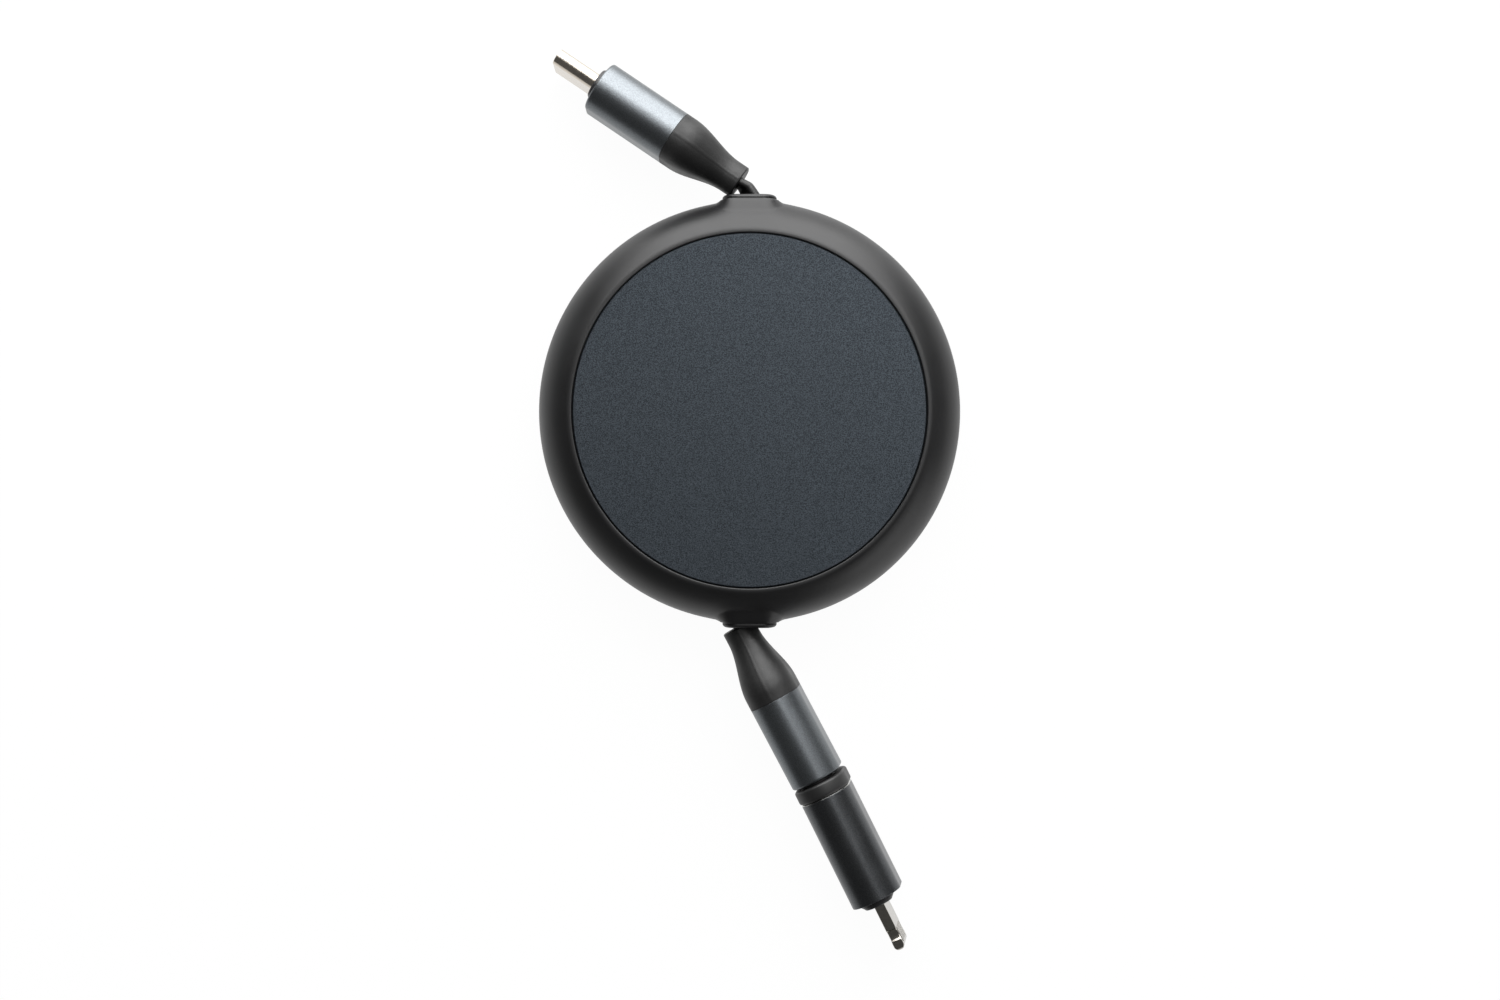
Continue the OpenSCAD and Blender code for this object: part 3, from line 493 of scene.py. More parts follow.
def rounded(z0, z1, across, along, edge, rear=None):
    """Levels of the outside of an oval piece with rounded edges at both ends."""
    turns = [math.pi / 2 * i / EDGE_STEPS for i in range(EDGE_STEPS + 1)]
    rear = rear or edge
    low = [(z0 + rear * (1 - math.cos(a)), rear * (1 - math.sin(a))) for a in turns]
    high = [(z1 - edge * (1 - math.cos(a)), edge * (1 - math.sin(a))) for a in reversed(turns)]
    return [(z, across - 2 * inset, along - 2 * inset) for z, inset in low + high]


def tube(z0, z1, across, along, edge, wall, rear=None):
    """An oval tube with rounded outer edges."""
    inner = [(z, across - 2 * wall, along - 2 * wall) for z in (z1, z0)]
    return loft(rounded(z0, z1, across, along, edge, rear=rear) + inner, joined=True)


def placed(mesh, matrix):
    """Moves a mesh to its place, so that its object can stay at the origin."""
    bmesh.ops.transform(mesh, matrix=matrix, verts=mesh.verts)
    return mesh


# Frames of the plugs and the adapter


def lip_y():
    """How far the lips reach from the winder's middle."""
    return HOUSING_R + bpy.context.scene.winder_look.lip_out


def heading(joint):
    """The way in which a plug is pulled, seen from above."""
    axis = next(j for j in frame["joints"] if j["name"] == joint)["axis"]
    return math.atan2(axis[1], axis[0])


def plug_matrix(letter):
    """Takes a plug's own frame, in which z runs from its boot to its tip, to its place."""
    at, turn = BOOT_AT[letter], MOUTH_TURN[letter]
    across = Matrix.Rotation(math.pi / 2, 4, "Z") @ Matrix.Rotation(math.pi / 2, 4, "X")
    lie = (Matrix.Rotation(heading(f"plug_{letter}_pull") - turn, 4, "Z")
           @ Matrix.Rotation(TILT[letter], 4, "Y") @ Matrix.Rotation(ROLL[letter], 4, "X") @ across)
    return Matrix.Rotation(turn, 4, "Z") @ Matrix.Translation((at[0], lip_y() + at[1], MID_Z)) @ lie


def adapter_matrix():
    """The adapter is cocked a little about the middle of the tip that it is slid on."""
    plug, look = bpy.context.scene.plug_look, bpy.context.scene.adapter_look
    sleeve_end = plug.boot_length + plug.length
    tip_middle = sleeve_end + plug.collar_out + plug.tip_length / 2
    return (plug_matrix("b") @ Matrix.Translation((0, 0, tip_middle)) @ Matrix.Rotation(COCK, 4, "Y")
            @ Matrix.Translation((0, 0, sleeve_end + look.gap - tip_middle)))


# Winder


def arc(centre, radius, start, end, steps):
    """Points of an arc in a half section, each a radius and a height."""
    turns = [start + (end - start) * i / steps for i in range(steps + 1)]
    return [(centre[0] + radius * math.cos(a), centre[1] + radius * math.sin(a)) for a in turns]


def rim_section():
    """Centre and radius of the arc round the rim."""
    look = bpy.context.scene.winder_look
    flat = FACE_R + look.disc_gap + look.rim_flat
    out = HOUSING_R - flat
    radius = (out * out + MID_Z * MID_Z) / (2 * out)
    return HOUSING_R - radius, radius


def revolve(section, fine, coarse, fine_angle):
    """Spins a closed half section, with narrow steps across both mouths and wider ones between."""
    mesh = bmesh.new()
    points = [mesh.verts.new((r, 0, z)) for r, z in section]
    edges = [mesh.edges.new(pair) for pair in zip(points, points[1:] + points[:1])]
    bmesh.ops.rotate(mesh, verts=points, matrix=Matrix.Rotation(math.pi / 2 - fine_angle / 2, 3, "Z"))
    last = points + edges
    for angle, steps in 2 * [(fine_angle, fine), (math.pi - fine_angle, coarse)]:
        last = bmesh.ops.spin(mesh, geom=last, cent=(0, 0, 0), axis=(0, 0, 1), angle=angle,
                              steps=steps)["geom_last"]
    bmesh.ops.remove_doubles(mesh, verts=mesh.verts, dist=0.001 * MM)
    return mesh


def corner_distance(x, z, half_x, half_z, corner):
    """Distance from a rectangle with round corners, negative inside it."""
    dx, dz = abs(x) - half_x + corner, abs(z) - half_z + corner
    return math.hypot(max(dx, 0), max(dz, 0)) + min(max(dx, dz), 0) - corner


def curl_back(x):
    """How far a lip lies back at a distance from its middle, because its ends are rounded in plan."""
    look = bpy.context.scene.winder_look
    curved = 1.2 * MM
    straight = look.lip_width / 2 - curved
    return look.lip_curl * (max(0, abs(x) - straight) / curved) ** 2


def raise_lips(mesh):
    """Pushes the skin of the rim outwards to make a lip at each mouth, blended into the rim."""
    look = bpy.context.scene.winder_look
    centre, radius = rim_section()
    front = lip_y() - look.bead - look.bead_groove
    skin = 1.5 * look.parting
    foot_x = look.lip_width / 2 + 2.7 * look.lip_splay
    foot_z = look.lip_height / 2 + look.lip_splay
    for vert in mesh.verts:
        x, z = vert.co.x, vert.co.z - MID_Z
        reach = math.hypot(vert.co.x, vert.co.y) - centre
        if reach < 0 or math.hypot(reach, z) < radius - skin:
            continue
        away = corner_distance(x, z, foot_x, foot_z, look.lip_corner)
        if away < look.lip_blend:
            rim_r = centre + math.sqrt(radius * radius - z * z)
            rim_y = math.sqrt(rim_r * rim_r - x * x)
            # Most of the rise is the steep flank, and the rest runs out softly into the rim
            flank = max(0, 1 - max(away, 0) / look.lip_flank) ** 1.3
            share = 0.8 * flank + 0.2 * (1 - max(away, 0) / look.lip_blend) ** 2
            raised = front - curl_back(min(abs(x), look.lip_width / 2 + look.lip_splay)) - rim_y
            vert.co.y += math.copysign(max(raised, 0) * share, vert.co.y)


def cut_mouths(piece):
    """Cuts both mouths through the wall of a shell."""
    look = bpy.context.scene.winder_look
    across, height = look.lip_width - 2 * look.lip_wall, look.lip_height - 2 * look.lip_wall
    reach = 2 * HOUSING_R
    cutter_mesh = placed(loft([(-reach, across, height, look.lip_corner - look.lip_wall),
                               (reach, across, height, look.lip_corner - look.lip_wall)]),
                         Matrix.Translation((0, 0, MID_Z)) @ Matrix.Rotation(math.pi / 2, 4, "X"))
    bmesh.ops.recalc_face_normals(cutter_mesh, faces=cutter_mesh.faces)
    data = bpy.data.meshes.new("mouth_cutter")
    cutter_mesh.to_mesh(data)
    cutter_mesh.free()
    cutter = bpy.data.objects.new("mouth_cutter", data)
    bpy.context.scene.collection.objects.link(cutter)
    cut = piece.modifiers.new("mouths", "BOOLEAN")
    cut.operation = "DIFFERENCE"
    cut.object = cutter
    return cutter


def shell_section(top):
    """Closed half section of the top or the bottom shell."""
    look = bpy.context.scene.winder_look
    centre, radius = rim_section()
    inner = radius - look.wall
    edge = look.recess_edge
    groove = look.parting / 2
    start = math.asin(groove / radius)
    rise = math.asin((MID_Z - look.crown) / (radius - look.crown))
    crown_at = (centre + (radius - look.crown) * math.cos(rise), MID_Z - look.crown)
    outer = (arc((centre, 0), radius, start, rise, steps=52)
             + arc(crown_at, look.crown, rise, math.pi / 2, steps=10)[1:])
    if top:
        roof_z = MID_Z - look.recess_depth - look.roof
        recess_r = FACE_R + look.disc_gap
        roof_r = centre + math.sqrt(inner * inner - roof_z * roof_z)
        hole = 1 * MM
        crown = (arc((recess_r + edge, MID_Z - edge), edge, math.pi / 2, math.pi, steps=5)
                 + [(recess_r, MID_Z - look.recess_depth), (hole, MID_Z - look.recess_depth),
                    (hole, roof_z)])
    else:
        roof_z = MID_Z - look.wall
        roof_r = centre + math.sqrt(inner * inner - roof_z * roof_z)
        crown = [(0, MID_Z), (0, roof_z)]
    inside = arc((centre, 0), inner, math.atan2(roof_z, roof_r - centre), 0, steps=24)
    groove_r = centre + radius - look.parting
    section = outer + crown + inside + [(groove_r, 0), (groove_r, groove)]
    side = 1 if top else -1
    return [(r, MID_Z + side * z) for r, z in section]


def make_shell(name, node, top):
    """One shell: its section spun round, its lips raised and its mouths cut."""
    mesh = revolve(shell_section(top), fine=110, coarse=90, fine_angle=MOUTH_ANGLE)
    raise_lips(mesh)
    mesh.normal_update()
    bmesh.ops.recalc_face_normals(mesh, faces=mesh.faces)
    data = bpy.data.meshes.new(name)
    mesh.to_mesh(data)
    mesh.free()
    rough = bpy.data.objects.new(name + "_uncut", data)
    bpy.context.scene.collection.objects.link(rough)
    cutter = cut_mouths(rough)
    bpy.context.view_layer.update()
    cut = bpy.data.meshes.new_from_object(rough.evaluated_get(bpy.context.evaluated_depsgraph_get()))
    for spare in (rough, cutter):
        bpy.data.objects.remove(spare)
    mesh = bmesh.new()
    mesh.from_mesh(cut)
    new_piece(name, mesh, shell_plastic(), "winder", [node], sharp=30)


def make_mouth_rims():
    """The beaded end of each lip with the wall of its mouth, parted in height as the shells are."""
    look = bpy.context.scene.winder_look
    bead, depth, splay = look.bead, look.groove_depth, look.lip_splay
    back = bead + look.bead_groove

    def level(y, inset):
        return (y, look.lip_width - 2 * inset, look.lip_height - 2 * inset, look.lip_corner - inset)

    turns = [math.pi / 2 * i / 8 for i in range(9)]
    front = [level(-bead * (1 - math.sin(a)), (bead + splay / 2) * (1 - math.cos(a)) - splay)
             for a in turns]
    mouth_edge = 0.15 * MM
    behind_groove = 0.25 * MM
    inner = [level(-mouth_edge * (1 - math.cos(a)), look.lip_wall - mouth_edge * (1 - math.sin(a)))
             for a in turns[::2]]
    rear = -back - behind_groove
    levels = ([level(rear, depth - splay), level(-bead - SHORT, depth - splay)]
              + front + inner + [level(rear, look.lip_wall)])
    for mouth, turn in MOUTH_TURN.items():
        stand = (Matrix.Rotation(turn, 4, "Z") @ Matrix.Translation((0, lip_y(), MID_Z))
                 @ Matrix.Rotation(-math.pi / 2, 4, "X"))
        for half, side in (("top", 1), ("bottom", -1)):
            mesh = loft(levels, joined=True)
            for vert in mesh.verts:
                vert.co.z -= curl_back(vert.co.x)
            placed(mesh, stand)
            at = Vector((0, 0, MID_Z + side * look.parting / 4))
            cut = bmesh.ops.bisect_plane(mesh, geom=mesh.verts[:] + mesh.edges[:] + mesh.faces[:],
                                         plane_co=at, plane_no=-side * UP, clear_outer=True)
            edges = [e for e in cut["geom_cut"] if isinstance(e, bmesh.types.BMEdge)]
            bmesh.ops.holes_fill(mesh, edges=edges, sides=0)
            new_piece(f"mouth_{mouth}_{half}", mesh, shell_plastic(), "winder", sharp=40)


class CABLE_OT_winder(bpy.types.Operator):
    """Makes both shells of the winder and the rims of its mouths"""

    bl_idname = "cable.winder"
    bl_label = "Winder shells"

    def execute(self, context):
        make_shell("winder_top", "top_shell", True)
        make_shell("winder_bottom", "bottom_shell", False)
        make_mouth_rims()
        return {"FINISHED"}


class CABLE_OT_disc(bpy.types.Operator):
    """Makes the metal disc with its bevelled edge"""

    bl_idname = "cable.disc"
    bl_label = "Disc"

    def execute(self, context):
        look = context.scene.winder_look
        low = HOUSING_TOP - look.disc_thickness
        section = [(0, low), (FACE_R, low), (FACE_R, HOUSING_TOP - look.disc_bevel),
                   (FACE_R - look.disc_bevel, HOUSING_TOP), (0, HOUSING_TOP)]
        mesh = revolve(section, fine=24, coarse=156, fine_angle=MOUTH_ANGLE)
        new_piece("disc", mesh, disc_metal(), "winder", ["face_plate"], sharp=20)
        return {"FINISHED"}


# Cable


def plug_up(letter):
    """The way that the width of the cable points inside a plug."""
    return plug_matrix(letter).to_3x3() @ Vector((0, 1, 0))


def lead_path(letter):
    """Points along the middle of a lead, each with the way its width points."""
    look = bpy.context.scene.plug_look
    at = BOOT_AT[letter]
    turn = Matrix.Rotation(MOUTH_TURN[letter], 4, "Z")
    free = [Vector((x * MM, lip_y() + y * MM, MID_Z)) for x, y in LEAD_ROUTE[letter]]
    first = free[0]
    leave = (math.atan2(first.y, first.x)
             - math.acos(look.coil_radius / math.hypot(first.x, first.y)))
    coil = [leave - WRAP_ANGLE * (1 - i / WRAP_STEPS) for i in range(WRAP_STEPS + 1)]
    wrap = [Vector((look.coil_radius * math.cos(a), look.coil_radius * math.sin(a), MID_Z)) for a in coil]
    run = [wrap[-1].lerp(first, share) for share in (1 / 3, 2 / 3)]
    matrix = turn.inverted() @ plug_matrix(letter)
    ahead = matrix.to_3x3() @ UP
    end = Vector((at[0], lip_y() + at[1], MID_Z))
    knots = run + free + [end - ahead * 0.2 * MM, end]
    # A smooth curve through the knots
    middle = []
    for i in range(1, len(knots) - 2):
        a, b, c, d = knots[i - 1:i + 3]
        for k in range(CURVE_STEPS):
            t = k / CURVE_STEPS
            middle.append(0.5 * ((2 * b) + (c - a) * t + (2 * a - 5 * b + 4 * c - d) * t * t
                                 + (3 * b - a - 3 * c + d) * t ** 3))
    last = free[-1]
    # The last stretch is straight, because it is the part that stretches as the plug is pulled
    straight = [last.lerp(end, i / LAST_STEPS) for i in range(LAST_STEPS + 1)]
    keep = [p for p in middle if (p - last).length > 0.25 * MM and p.y < last.y]
    inside = [end + ahead * (look.boot_length + look.spigot) * share for share in (0.3, 0.6, 0.99)]
    points = wrap + run[:1] + keep + straight + inside
    up = turn.inverted().to_3x3() @ plug_up(letter)
    count = len(points) - len(straight) - len(inside)
    ups = []
    for i in range(count + 1):
        ahead_here = (points[i + 1] - points[max(i - 1, 0)]).normalized()
        share = min(1, max(0, (i - len(wrap)) / (count - len(wrap))))
        twist = LEAD_TWIST[letter] * share * share * (3 - 2 * share)
        ups.append(Matrix.Rotation(twist, 3, ahead_here) @ UP)
    leaning = ups.pop()
    ups += [leaning.lerp(up, i / LAST_STEPS) for i in range(LAST_STEPS + 1)] + [up] * len(inside)
    return points, ups, turn, last, end


class CABLE_OT_leads(bpy.types.Operator):
    """Makes the two leads of flat cable between the coil and the boots"""

    bl_idname = "cable.leads"
    bl_label = "Cable leads"

    def execute(self, context):
        look = context.scene.plug_look
        for letter in "ab":
            points, ups, turn, start, end = lead_path(letter)
            mesh = bmesh.new()
            loops = []
            for i, (point, up) in enumerate(zip(points, ups)):
                before, after = points[max(i - 1, 0)], points[min(i + 1, len(points) - 1)]
                ahead = (after - before).normalized()
                across = up.cross(ahead).normalized()
                wide = ahead.cross(across)
                loop = oval(mesh, 0, look.cable_thickness, look.cable_width, steps=26)
                verts = list({v for e in loop for v in e.verts})
                spot = Matrix((across, wide, ahead)).transposed().to_4x4()
                spot.translation = point
                bmesh.ops.transform(mesh, matrix=spot, verts=verts)
                loops.append(loop)
            for low, high in zip(loops, loops[1:]):
                bmesh.ops.bridge_loops(mesh, edges=low + high)
            for loop in (loops[0], loops[-1]):
                bmesh.ops.contextual_create(mesh, geom=loop)
            placed(mesh, turn)
            node = f"cable_lead_{letter}"
            piece = new_piece(f"flat_cable_{letter}", mesh, cable_jacket(), None, [node], sharp=60)
            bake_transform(piece)
        return {"FINISHED"}


# Plugs


def boot_flare(share):
    """How far the boot has widened at a share of its length."""
    begin, full = 0.15, 0.87
    u = min(1, max(0, (share - begin) / (full - begin)))
    return u * u * (3 - 2 * u)


def make_boot(letter):
    """A boot: a slot for the cable, a flare from a small oval to the sleeve's, and a spigot inside it."""
    look = bpy.context.scene.plug_look
    steps, end_steps = 44, 4
    slot = (look.cable_thickness + FIT, look.cable_width + FIT)
    levels = [(1 * MM, *slot), (0, *slot)]
    for i in range(end_steps + 1):
        a = math.pi / 2 * i / end_steps
        inset = look.boot_edge * (1 - math.sin(a))
        levels.append((look.boot_edge * (1 - math.cos(a)), look.boot_thickness - 2 * inset,
                       look.boot_width - 2 * inset))
    for i in range(1, steps + 1):
        flare = boot_flare(i / steps)
        levels.append((look.boot_length * i / steps - (SHORT if i == steps else 0),
                       look.boot_thickness + (look.thickness - look.boot_thickness) * flare,
                       look.boot_width + (look.width - look.boot_width) * flare))
    inner = 2 * look.wall + FIT
    for z in (levels[-1][0], look.boot_length + look.spigot):
        levels.append((z, look.thickness - inner, look.width - inner))
    mesh = loft(levels)
    # The mould seam runs along both narrow sides
    for vert in mesh.verts:
        on_skin = abs(vert.co.y) > look.boot_width / 2 - 2 * look.seam_ridge and vert.co.z > look.boot_edge
        if abs(vert.co.x) < 0.02 * MM and on_skin and vert.co.z < look.boot_length - look.boot_edge:
            vert.co.y += math.copysign(look.seam_ridge, vert.co.y)
    return placed(mesh, plug_matrix(letter))


class CABLE_OT_boots(bpy.types.Operator):
    """Makes the two flared boots with their mould seams"""

    bl_idname = "cable.boots"
    bl_label = "Boots"

    def execute(self, context):
        for letter in "ab":
            body = f"plug_{letter}"
            new_piece(f"boot_{letter}", make_boot(letter), boot_rubber(), body, [body + "_boot"],
                      sharp=50)
        return {"FINISHED"}


def make_collar(end, out, thickness, edge, hole):
    """A front collar: it fills the end of a sleeve, stands out of it, and has a hole for its tip."""
    plug = bpy.context.scene.plug_look
    inner = 2 * plug.wall + FIT
    back, shoulder, front = end - plug.collar_in, end - plug.edge / 2, end + out
    nose = rounded(shoulder, front, thickness, plug.collar_width, edge)
    return loft([(z, plug.thickness - inner, plug.width - inner) for z in (back, shoulder)]
                + nose[EDGE_STEPS + 1:] + [(front, *hole), (back, *hole)], joined=True)


class CABLE_OT_plugs(bpy.types.Operator):
    """Makes the sleeves, collars and oval tips of the two plugs"""

    bl_idname = "cable.plugs"
    bl_label = "Plugs"

    def execute(self, context):
        look = context.scene.plug_look
        start, end = look.boot_length, look.boot_length + look.length
        tip = (look.tip_thickness + HOLE_ROOM, look.tip_width + HOLE_ROOM)
        front = end + look.collar_out
        for letter in "ab":
            body = f"plug_{letter}"
            matrix = plug_matrix(letter)
            sleeve = tube(start, end, look.thickness, look.width, look.edge, look.wall, rear=0.04 * MM)
            new_piece(f"sleeve_{letter}", placed(sleeve, matrix), sleeve_metal(), body,
                      [body + "_sleeve"])
            collar = make_collar(end, look.collar_out, look.collar_thickness, 0.15 * MM, tip)
            new_piece(f"collar_{letter}", placed(collar, matrix), collar_plastic(), body,
                      [body + "_collar"])
            oval_tip = tube(end - look.tip_in, front + look.tip_length, look.tip_thickness,
                            look.tip_width, look.tip_wall / 2, look.tip_wall)
            new_piece(f"oval_tip_{letter}", placed(oval_tip, matrix), tip_steel(), body,
                      [body + "_tip"])
        return {"FINISHED"}


# Adapter


def make_tab():
    """The flat tab: a bar with a round end, rounded edges and a hollow notch in each narrow edge."""
    look = bpy.context.scene.adapter_look
    start = look.ring_length + look.length - 4 * MM
    collar = look.ring_length + look.length + look.collar_out
    end = collar + look.tab_length
    nose = look.tab_thickness / 2
    edge = 0.12 * MM
    notch = collar + look.notch_from_collar - look.notch_length / 2
    notch_steps, nose_steps = 16, 12
    levels = [(start, look.tab_thickness, look.tab_width, edge)]
    for i in range(notch_steps + 1):
        hollow = 2 * look.notch_depth * math.sin(math.pi * i / notch_steps) ** 0.7
        levels.append((notch + look.notch_length * i / notch_steps, look.tab_thickness,
                       look.tab_width - hollow, edge))
    for i in range(nose_steps + 1):
        a = math.pi / 2 * i / nose_steps
        less = 2 * nose * (1 - math.cos(a))
        levels.append((end - nose + nose * math.sin(a), max(look.tab_thickness - less, edge / 4),
                       look.tab_width - less, min(edge, max(look.tab_thickness - less, edge / 4) / 2)))
    return loft(levels)


class CABLE_OT_adapter(bpy.types.Operator):
    """Makes the adapter's end ring, sleeve, front collar and flat tab"""

    bl_idname = "cable.adapter"
    bl_label = "Adapter"

    def execute(self, context):
        plug, look = context.scene.plug_look, context.scene.adapter_look
        matrix = adapter_matrix()
        end = look.ring_length + look.length
        inner = 2 * plug.wall + FIT
        room = 2 * look.socket_room
        hole = (plug.tip_thickness + room, plug.tip_width + room)
        mouth = (plug.collar_thickness + 0.5 * MM, plug.collar_width + 0.5 * MM)
        mouth_depth = plug.collar_out - look.gap + 0.25 * MM
        proud = 2 * look.ring_proud
        ring_end = look.ring_length - SHORT
        outside = rounded(0, ring_end, plug.thickness + proud, plug.width + proud, look.ring_edge)
        spigot = look.ring_length + look.ring_spigot
        ring = loft(outside + [(ring_end, plug.thickness - inner, plug.width - inner),
                               (spigot, plug.thickness - inner, plug.width - inner), (spigot, *hole),
                               (mouth_depth, *hole), (mouth_depth, *mouth), (0, *mouth)], joined=True)
        new_piece("adapter_end_ring", placed(ring, matrix), ring_plastic(), "adapter",
                  ["adapter_ring"])
        sleeve = tube(look.ring_length + look.chamfer, end, plug.thickness, plug.width, look.chamfer / 2,
                      plug.wall)
        new_piece("adapter_outer_sleeve", placed(sleeve, matrix), adapter_metal(), "adapter",
                  ["adapter_sleeve"])
        less, hair = 2 * look.chamfer, 0.02 * MM
        bright = loft([(look.ring_length, plug.thickness - less, plug.width - less),
                       (look.ring_length + look.chamfer, plug.thickness - hair, plug.width - hair),
                       (look.ring_length + look.chamfer, plug.thickness - inner, plug.width - inner),
                       (look.ring_length, plug.thickness - inner, plug.width - inner)], joined=True)
        new_piece("adapter_cut_edge", placed(bright, matrix), cut_aluminium(), "adapter")
        tab_hole = (look.tab_thickness + HOLE_ROOM, look.tab_width + HOLE_ROOM, 0.05 * MM)
        collar = make_collar(end, look.collar_out, look.collar_thickness, 0.2 * MM, tab_hole)
        new_piece("adapter_front_collar", placed(collar, matrix), collar_plastic(), "adapter",
                  ["adapter_collar"])
        new_piece("adapter_flat_tab", placed(make_tab(), matrix), tab_metal(), "adapter",
                  ["adapter_tab"], sharp=40)
        return {"FINISHED"}


# Inner pieces


class CABLE_OT_inner_pieces(bpy.types.Operator):
    """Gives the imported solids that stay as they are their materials"""

    bl_idname = "cable.inner_pieces"
    bl_label = "Inner pieces"

    def execute(self, context):
        # Seen only in the mouths of the tips, and with the shells off: dull mouldings, bright metals
        spool = surface("graphite_abs", satin_plastic, linear("#2d2f32"), 0.45, 0.15 * MM)
        mould = surface("inner_mould_abs", satin_plastic, linear("#27282a"), 0.5, 0.2 * MM)
        insert = surface("black_insert_nylon", satin_plastic, linear("#111112"), 0.4, 0.1 * MM)
        pale = surface("palladium_plated_contacts", drawn_metal, linear("#c9c5bd"), 0.2, 0.1 * MM)
        gold = surface("gold_plated_contacts", drawn_metal, linear("#d9b565"), 0.2, 0.1 * MM)
        zinc = surface("zinc_plated_steel", drawn_metal, linear("#b4b6b8"), 0.3, 0.2 * MM)
        blued = surface("blued_spring_steel", drawn_metal, linear("#5c6470"), 0.3, 0.2 * MM)
        brass = surface("stamped_brass", drawn_metal, linear("#c2a055"), 0.3, 0.2 * MM)
        tape = surface("black_foam_tape", foam_tape, linear("#2a2a2a"))
        finishes = {
            "spool": spool, "spool_cap": spool, "wound_cable": cable_jacket(), "mainspring": blued,
            "pawl_spring": blued, "ratchet_pawl": brass, "pawl_pin": zinc, "centre_screw": zinc,
            "plate_adhesive": tape, "adapter_core": mould, "adapter_tongue": insert,
            "adapter_socket": tip_steel(), "adapter_contacts": pale,
        }
        for letter in "ab":
            finishes.update({f"plug_{letter}_core": mould, f"plug_{letter}_insert": insert,
                             f"plug_{letter}_contacts": gold})
        for node, material in finishes.items():
            dress(node, material)
        return {"FINISHED"}


# Studio


def round_about(centre, azimuth, elevation, distance):
    """A place seen from the centre in a direction given in degrees."""
    turn, rise = math.radians(azimuth), math.radians(elevation)
    return centre + distance * Vector((math.cos(rise) * math.cos(turn), math.cos(rise) * math.sin(turn),
                                       math.sin(rise)))


def add_lamp(name, place, target, size, power):
    """A soft rectangular lamp that faces its target."""
    data = bpy.data.lights.new(name, "AREA")
    data.shape = "RECTANGLE"
    data.size, data.size_y = size
    data.energy = power
    lamp = bpy.data.objects.new(name, data)
    lamp.location = place
    lamp.rotation_mode = "QUATERNION"
    lamp.rotation_quaternion = (Vector(target) - Vector(place)).to_track_quat("-Z", "Y")
    bpy.context.scene.collection.objects.link(lamp)


def glossy_paper():
    """White glossy board: matt to the eye, pale in every reflection, with a sheen at flat angles."""
    paper = bpy.data.materials.new("white_paper")
    paper.use_nodes = True
    tree = paper.node_tree
    tree.nodes.clear()
    path = add(tree, "ShaderNodeLightPath").outputs
    straight = add(tree, "ShaderNodeMath", {0: path["Is Camera Ray"], 1: path["Is Glossy Ray"]},
                   operation="MAXIMUM")
    white = add(tree, "ShaderNodeMath", {0: straight.outputs[0], 1: path["Is Transmission Ray"]},
                operation="MAXIMUM")
    matt = add(tree, "ShaderNodeBsdfDiffuse", {"Color": linear("#f4f4f4")})
    glow = add(tree, "ShaderNodeEmission", {"Color": linear("#ffffff"), "Strength": 1.0})
    nearly_white = 0.97
    share = add(tree, "ShaderNodeMath", {0: white.outputs[0], 1: nearly_white}, operation="MULTIPLY")
    board = add(tree, "ShaderNodeMixShader", {0: share.outputs[0], 1: matt.outputs[0],
                                              2: glow.outputs[0]})
    facing = add(tree, "ShaderNodeFresnel", {"IOR": 1.5})
    shine = add(tree, "ShaderNodeMath", {0: facing.outputs[0], 1: path["Is Glossy Ray"]},
                operation="MULTIPLY")
    gloss = add(tree, "ShaderNodeBsdfGlossy", {"Color": linear("#ffffff"), "Roughness": 0.2})
    mixed = add(tree, "ShaderNodeMixShader", {0: shine.outputs[0], 1: board.outputs[0],
                                              2: gloss.outputs[0]})
    add(tree, "ShaderNodeOutputMaterial", {"Surface": mixed.outputs[0]})
    return paper


def make_table():
    """The white board, a hair under the part."""
    table_mesh = bmesh.new()
    bmesh.ops.create_grid(table_mesh, x_segments=1, y_segments=1, size=4)
    data = bpy.data.meshes.new("table")
    table_mesh.to_mesh(data)
    table_mesh.free()
    table = bpy.data.objects.new("table", data)
    table.location.z = -0.05 * MM
    bpy.context.scene.collection.objects.link(table)
    data.materials.append(glossy_paper())


def make_room():
    """White all round to the camera, and a faint even light on the part."""
    scene = bpy.context.scene
    world = bpy.data.worlds.new("room")
    world.use_nodes = True
    tree = world.node_tree
    tree.nodes.clear()
    path = add(tree, "ShaderNodeLightPath").outputs
    strength = add(tree, "ShaderNodeMapRange", {
        "Value": path["Is Camera Ray"], "To Min": scene.studio_look.room, "To Max": 1.0})
    sky = add(tree, "ShaderNodeBackground", {"Color": linear("#ffffff"),
                                             "Strength": strength.outputs[0]})
    add(tree, "ShaderNodeOutputWorld", {"Surface": sky.outputs[0]})
    scene.world = world


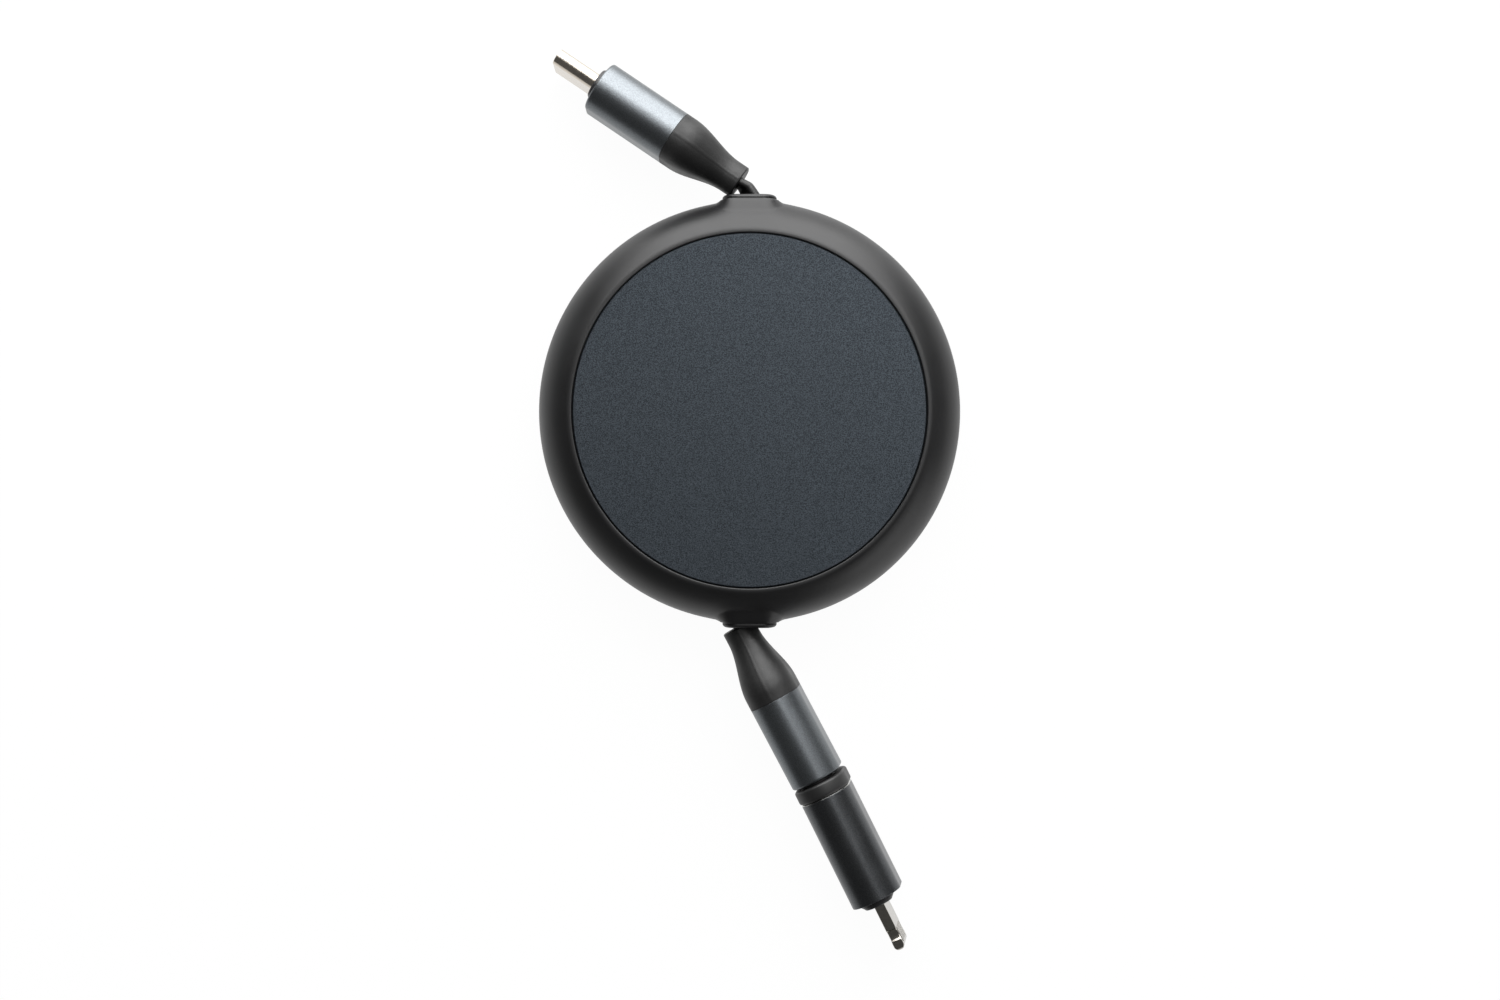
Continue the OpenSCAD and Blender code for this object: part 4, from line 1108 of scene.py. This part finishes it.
class CABLE_OT_studio(bpy.types.Operator):
    """Makes the white table, the lamps and the camera"""

    bl_idname = "cable.studio"
    bl_label = "Studio"

    def execute(self, context):
        look = context.scene.studio_look
        centre = Vector((look.centre_across, look.centre_along, 0))

        make_table()
        make_room()
        away = 0.5
        add_lamp("key", round_about(centre, 86, 30, away), centre, (0.8, 0.6), look.key_power)
        add_lamp("top", round_about(centre, 58, 68, away), centre, (0.32, 0.3), look.top_power)
        add_lamp("right_side", round_about(centre, -40, 14, away), centre, (0.36, 0.16), look.side_power)

        camera_data = bpy.data.cameras.new("camera")
        camera_data.lens = look.lens
        camera_data.sensor_width = 36
        camera_data.clip_start = 0.01
        camera = bpy.data.objects.new("camera", camera_data)
        camera.location = centre + UP * look.camera_height
        context.scene.collection.objects.link(camera)
        context.scene.camera = camera
        context.scene.view_settings.view_transform = "Standard"
        return {"FINISHED"}


# Panel and registration


class CABLE_PT_panel(bpy.types.Panel):
    """Lists the steps that build the cable"""

    bl_idname = "CABLE_PT_panel"
    bl_label = "Charging cable"
    bl_space_type = "VIEW_3D"
    bl_region_type = "UI"
    bl_category = "Cable"

    def draw(self, context):
        for operator in OPERATORS:
            self.layout.operator(operator.bl_idname)


OPERATORS = (CABLE_OT_studio, CABLE_OT_winder, CABLE_OT_disc, CABLE_OT_leads, CABLE_OT_boots,
             CABLE_OT_plugs, CABLE_OT_adapter, CABLE_OT_inner_pieces)
GROUPS = {"winder_look": WinderLook, "plug_look": PlugLook, "adapter_look": AdapterLook,
          "studio_look": StudioLook}


def register():
    for group in (*GROUPS.values(), *OPERATORS, CABLE_PT_panel):
        bpy.utils.register_class(group)
    for name, group in GROUPS.items():
        setattr(bpy.types.Scene, name, PointerProperty(type=group))


def unregister():
    for name in GROUPS:
        delattr(bpy.types.Scene, name)
    for group in (CABLE_PT_panel, *reversed(OPERATORS), *GROUPS.values()):
        bpy.utils.unregister_class(group)


def main():
    register()
    for operator in OPERATORS:
        group, name = operator.bl_idname.split(".")
        getattr(getattr(bpy.ops, group), name)()


if __name__ == "__main__":
    main()
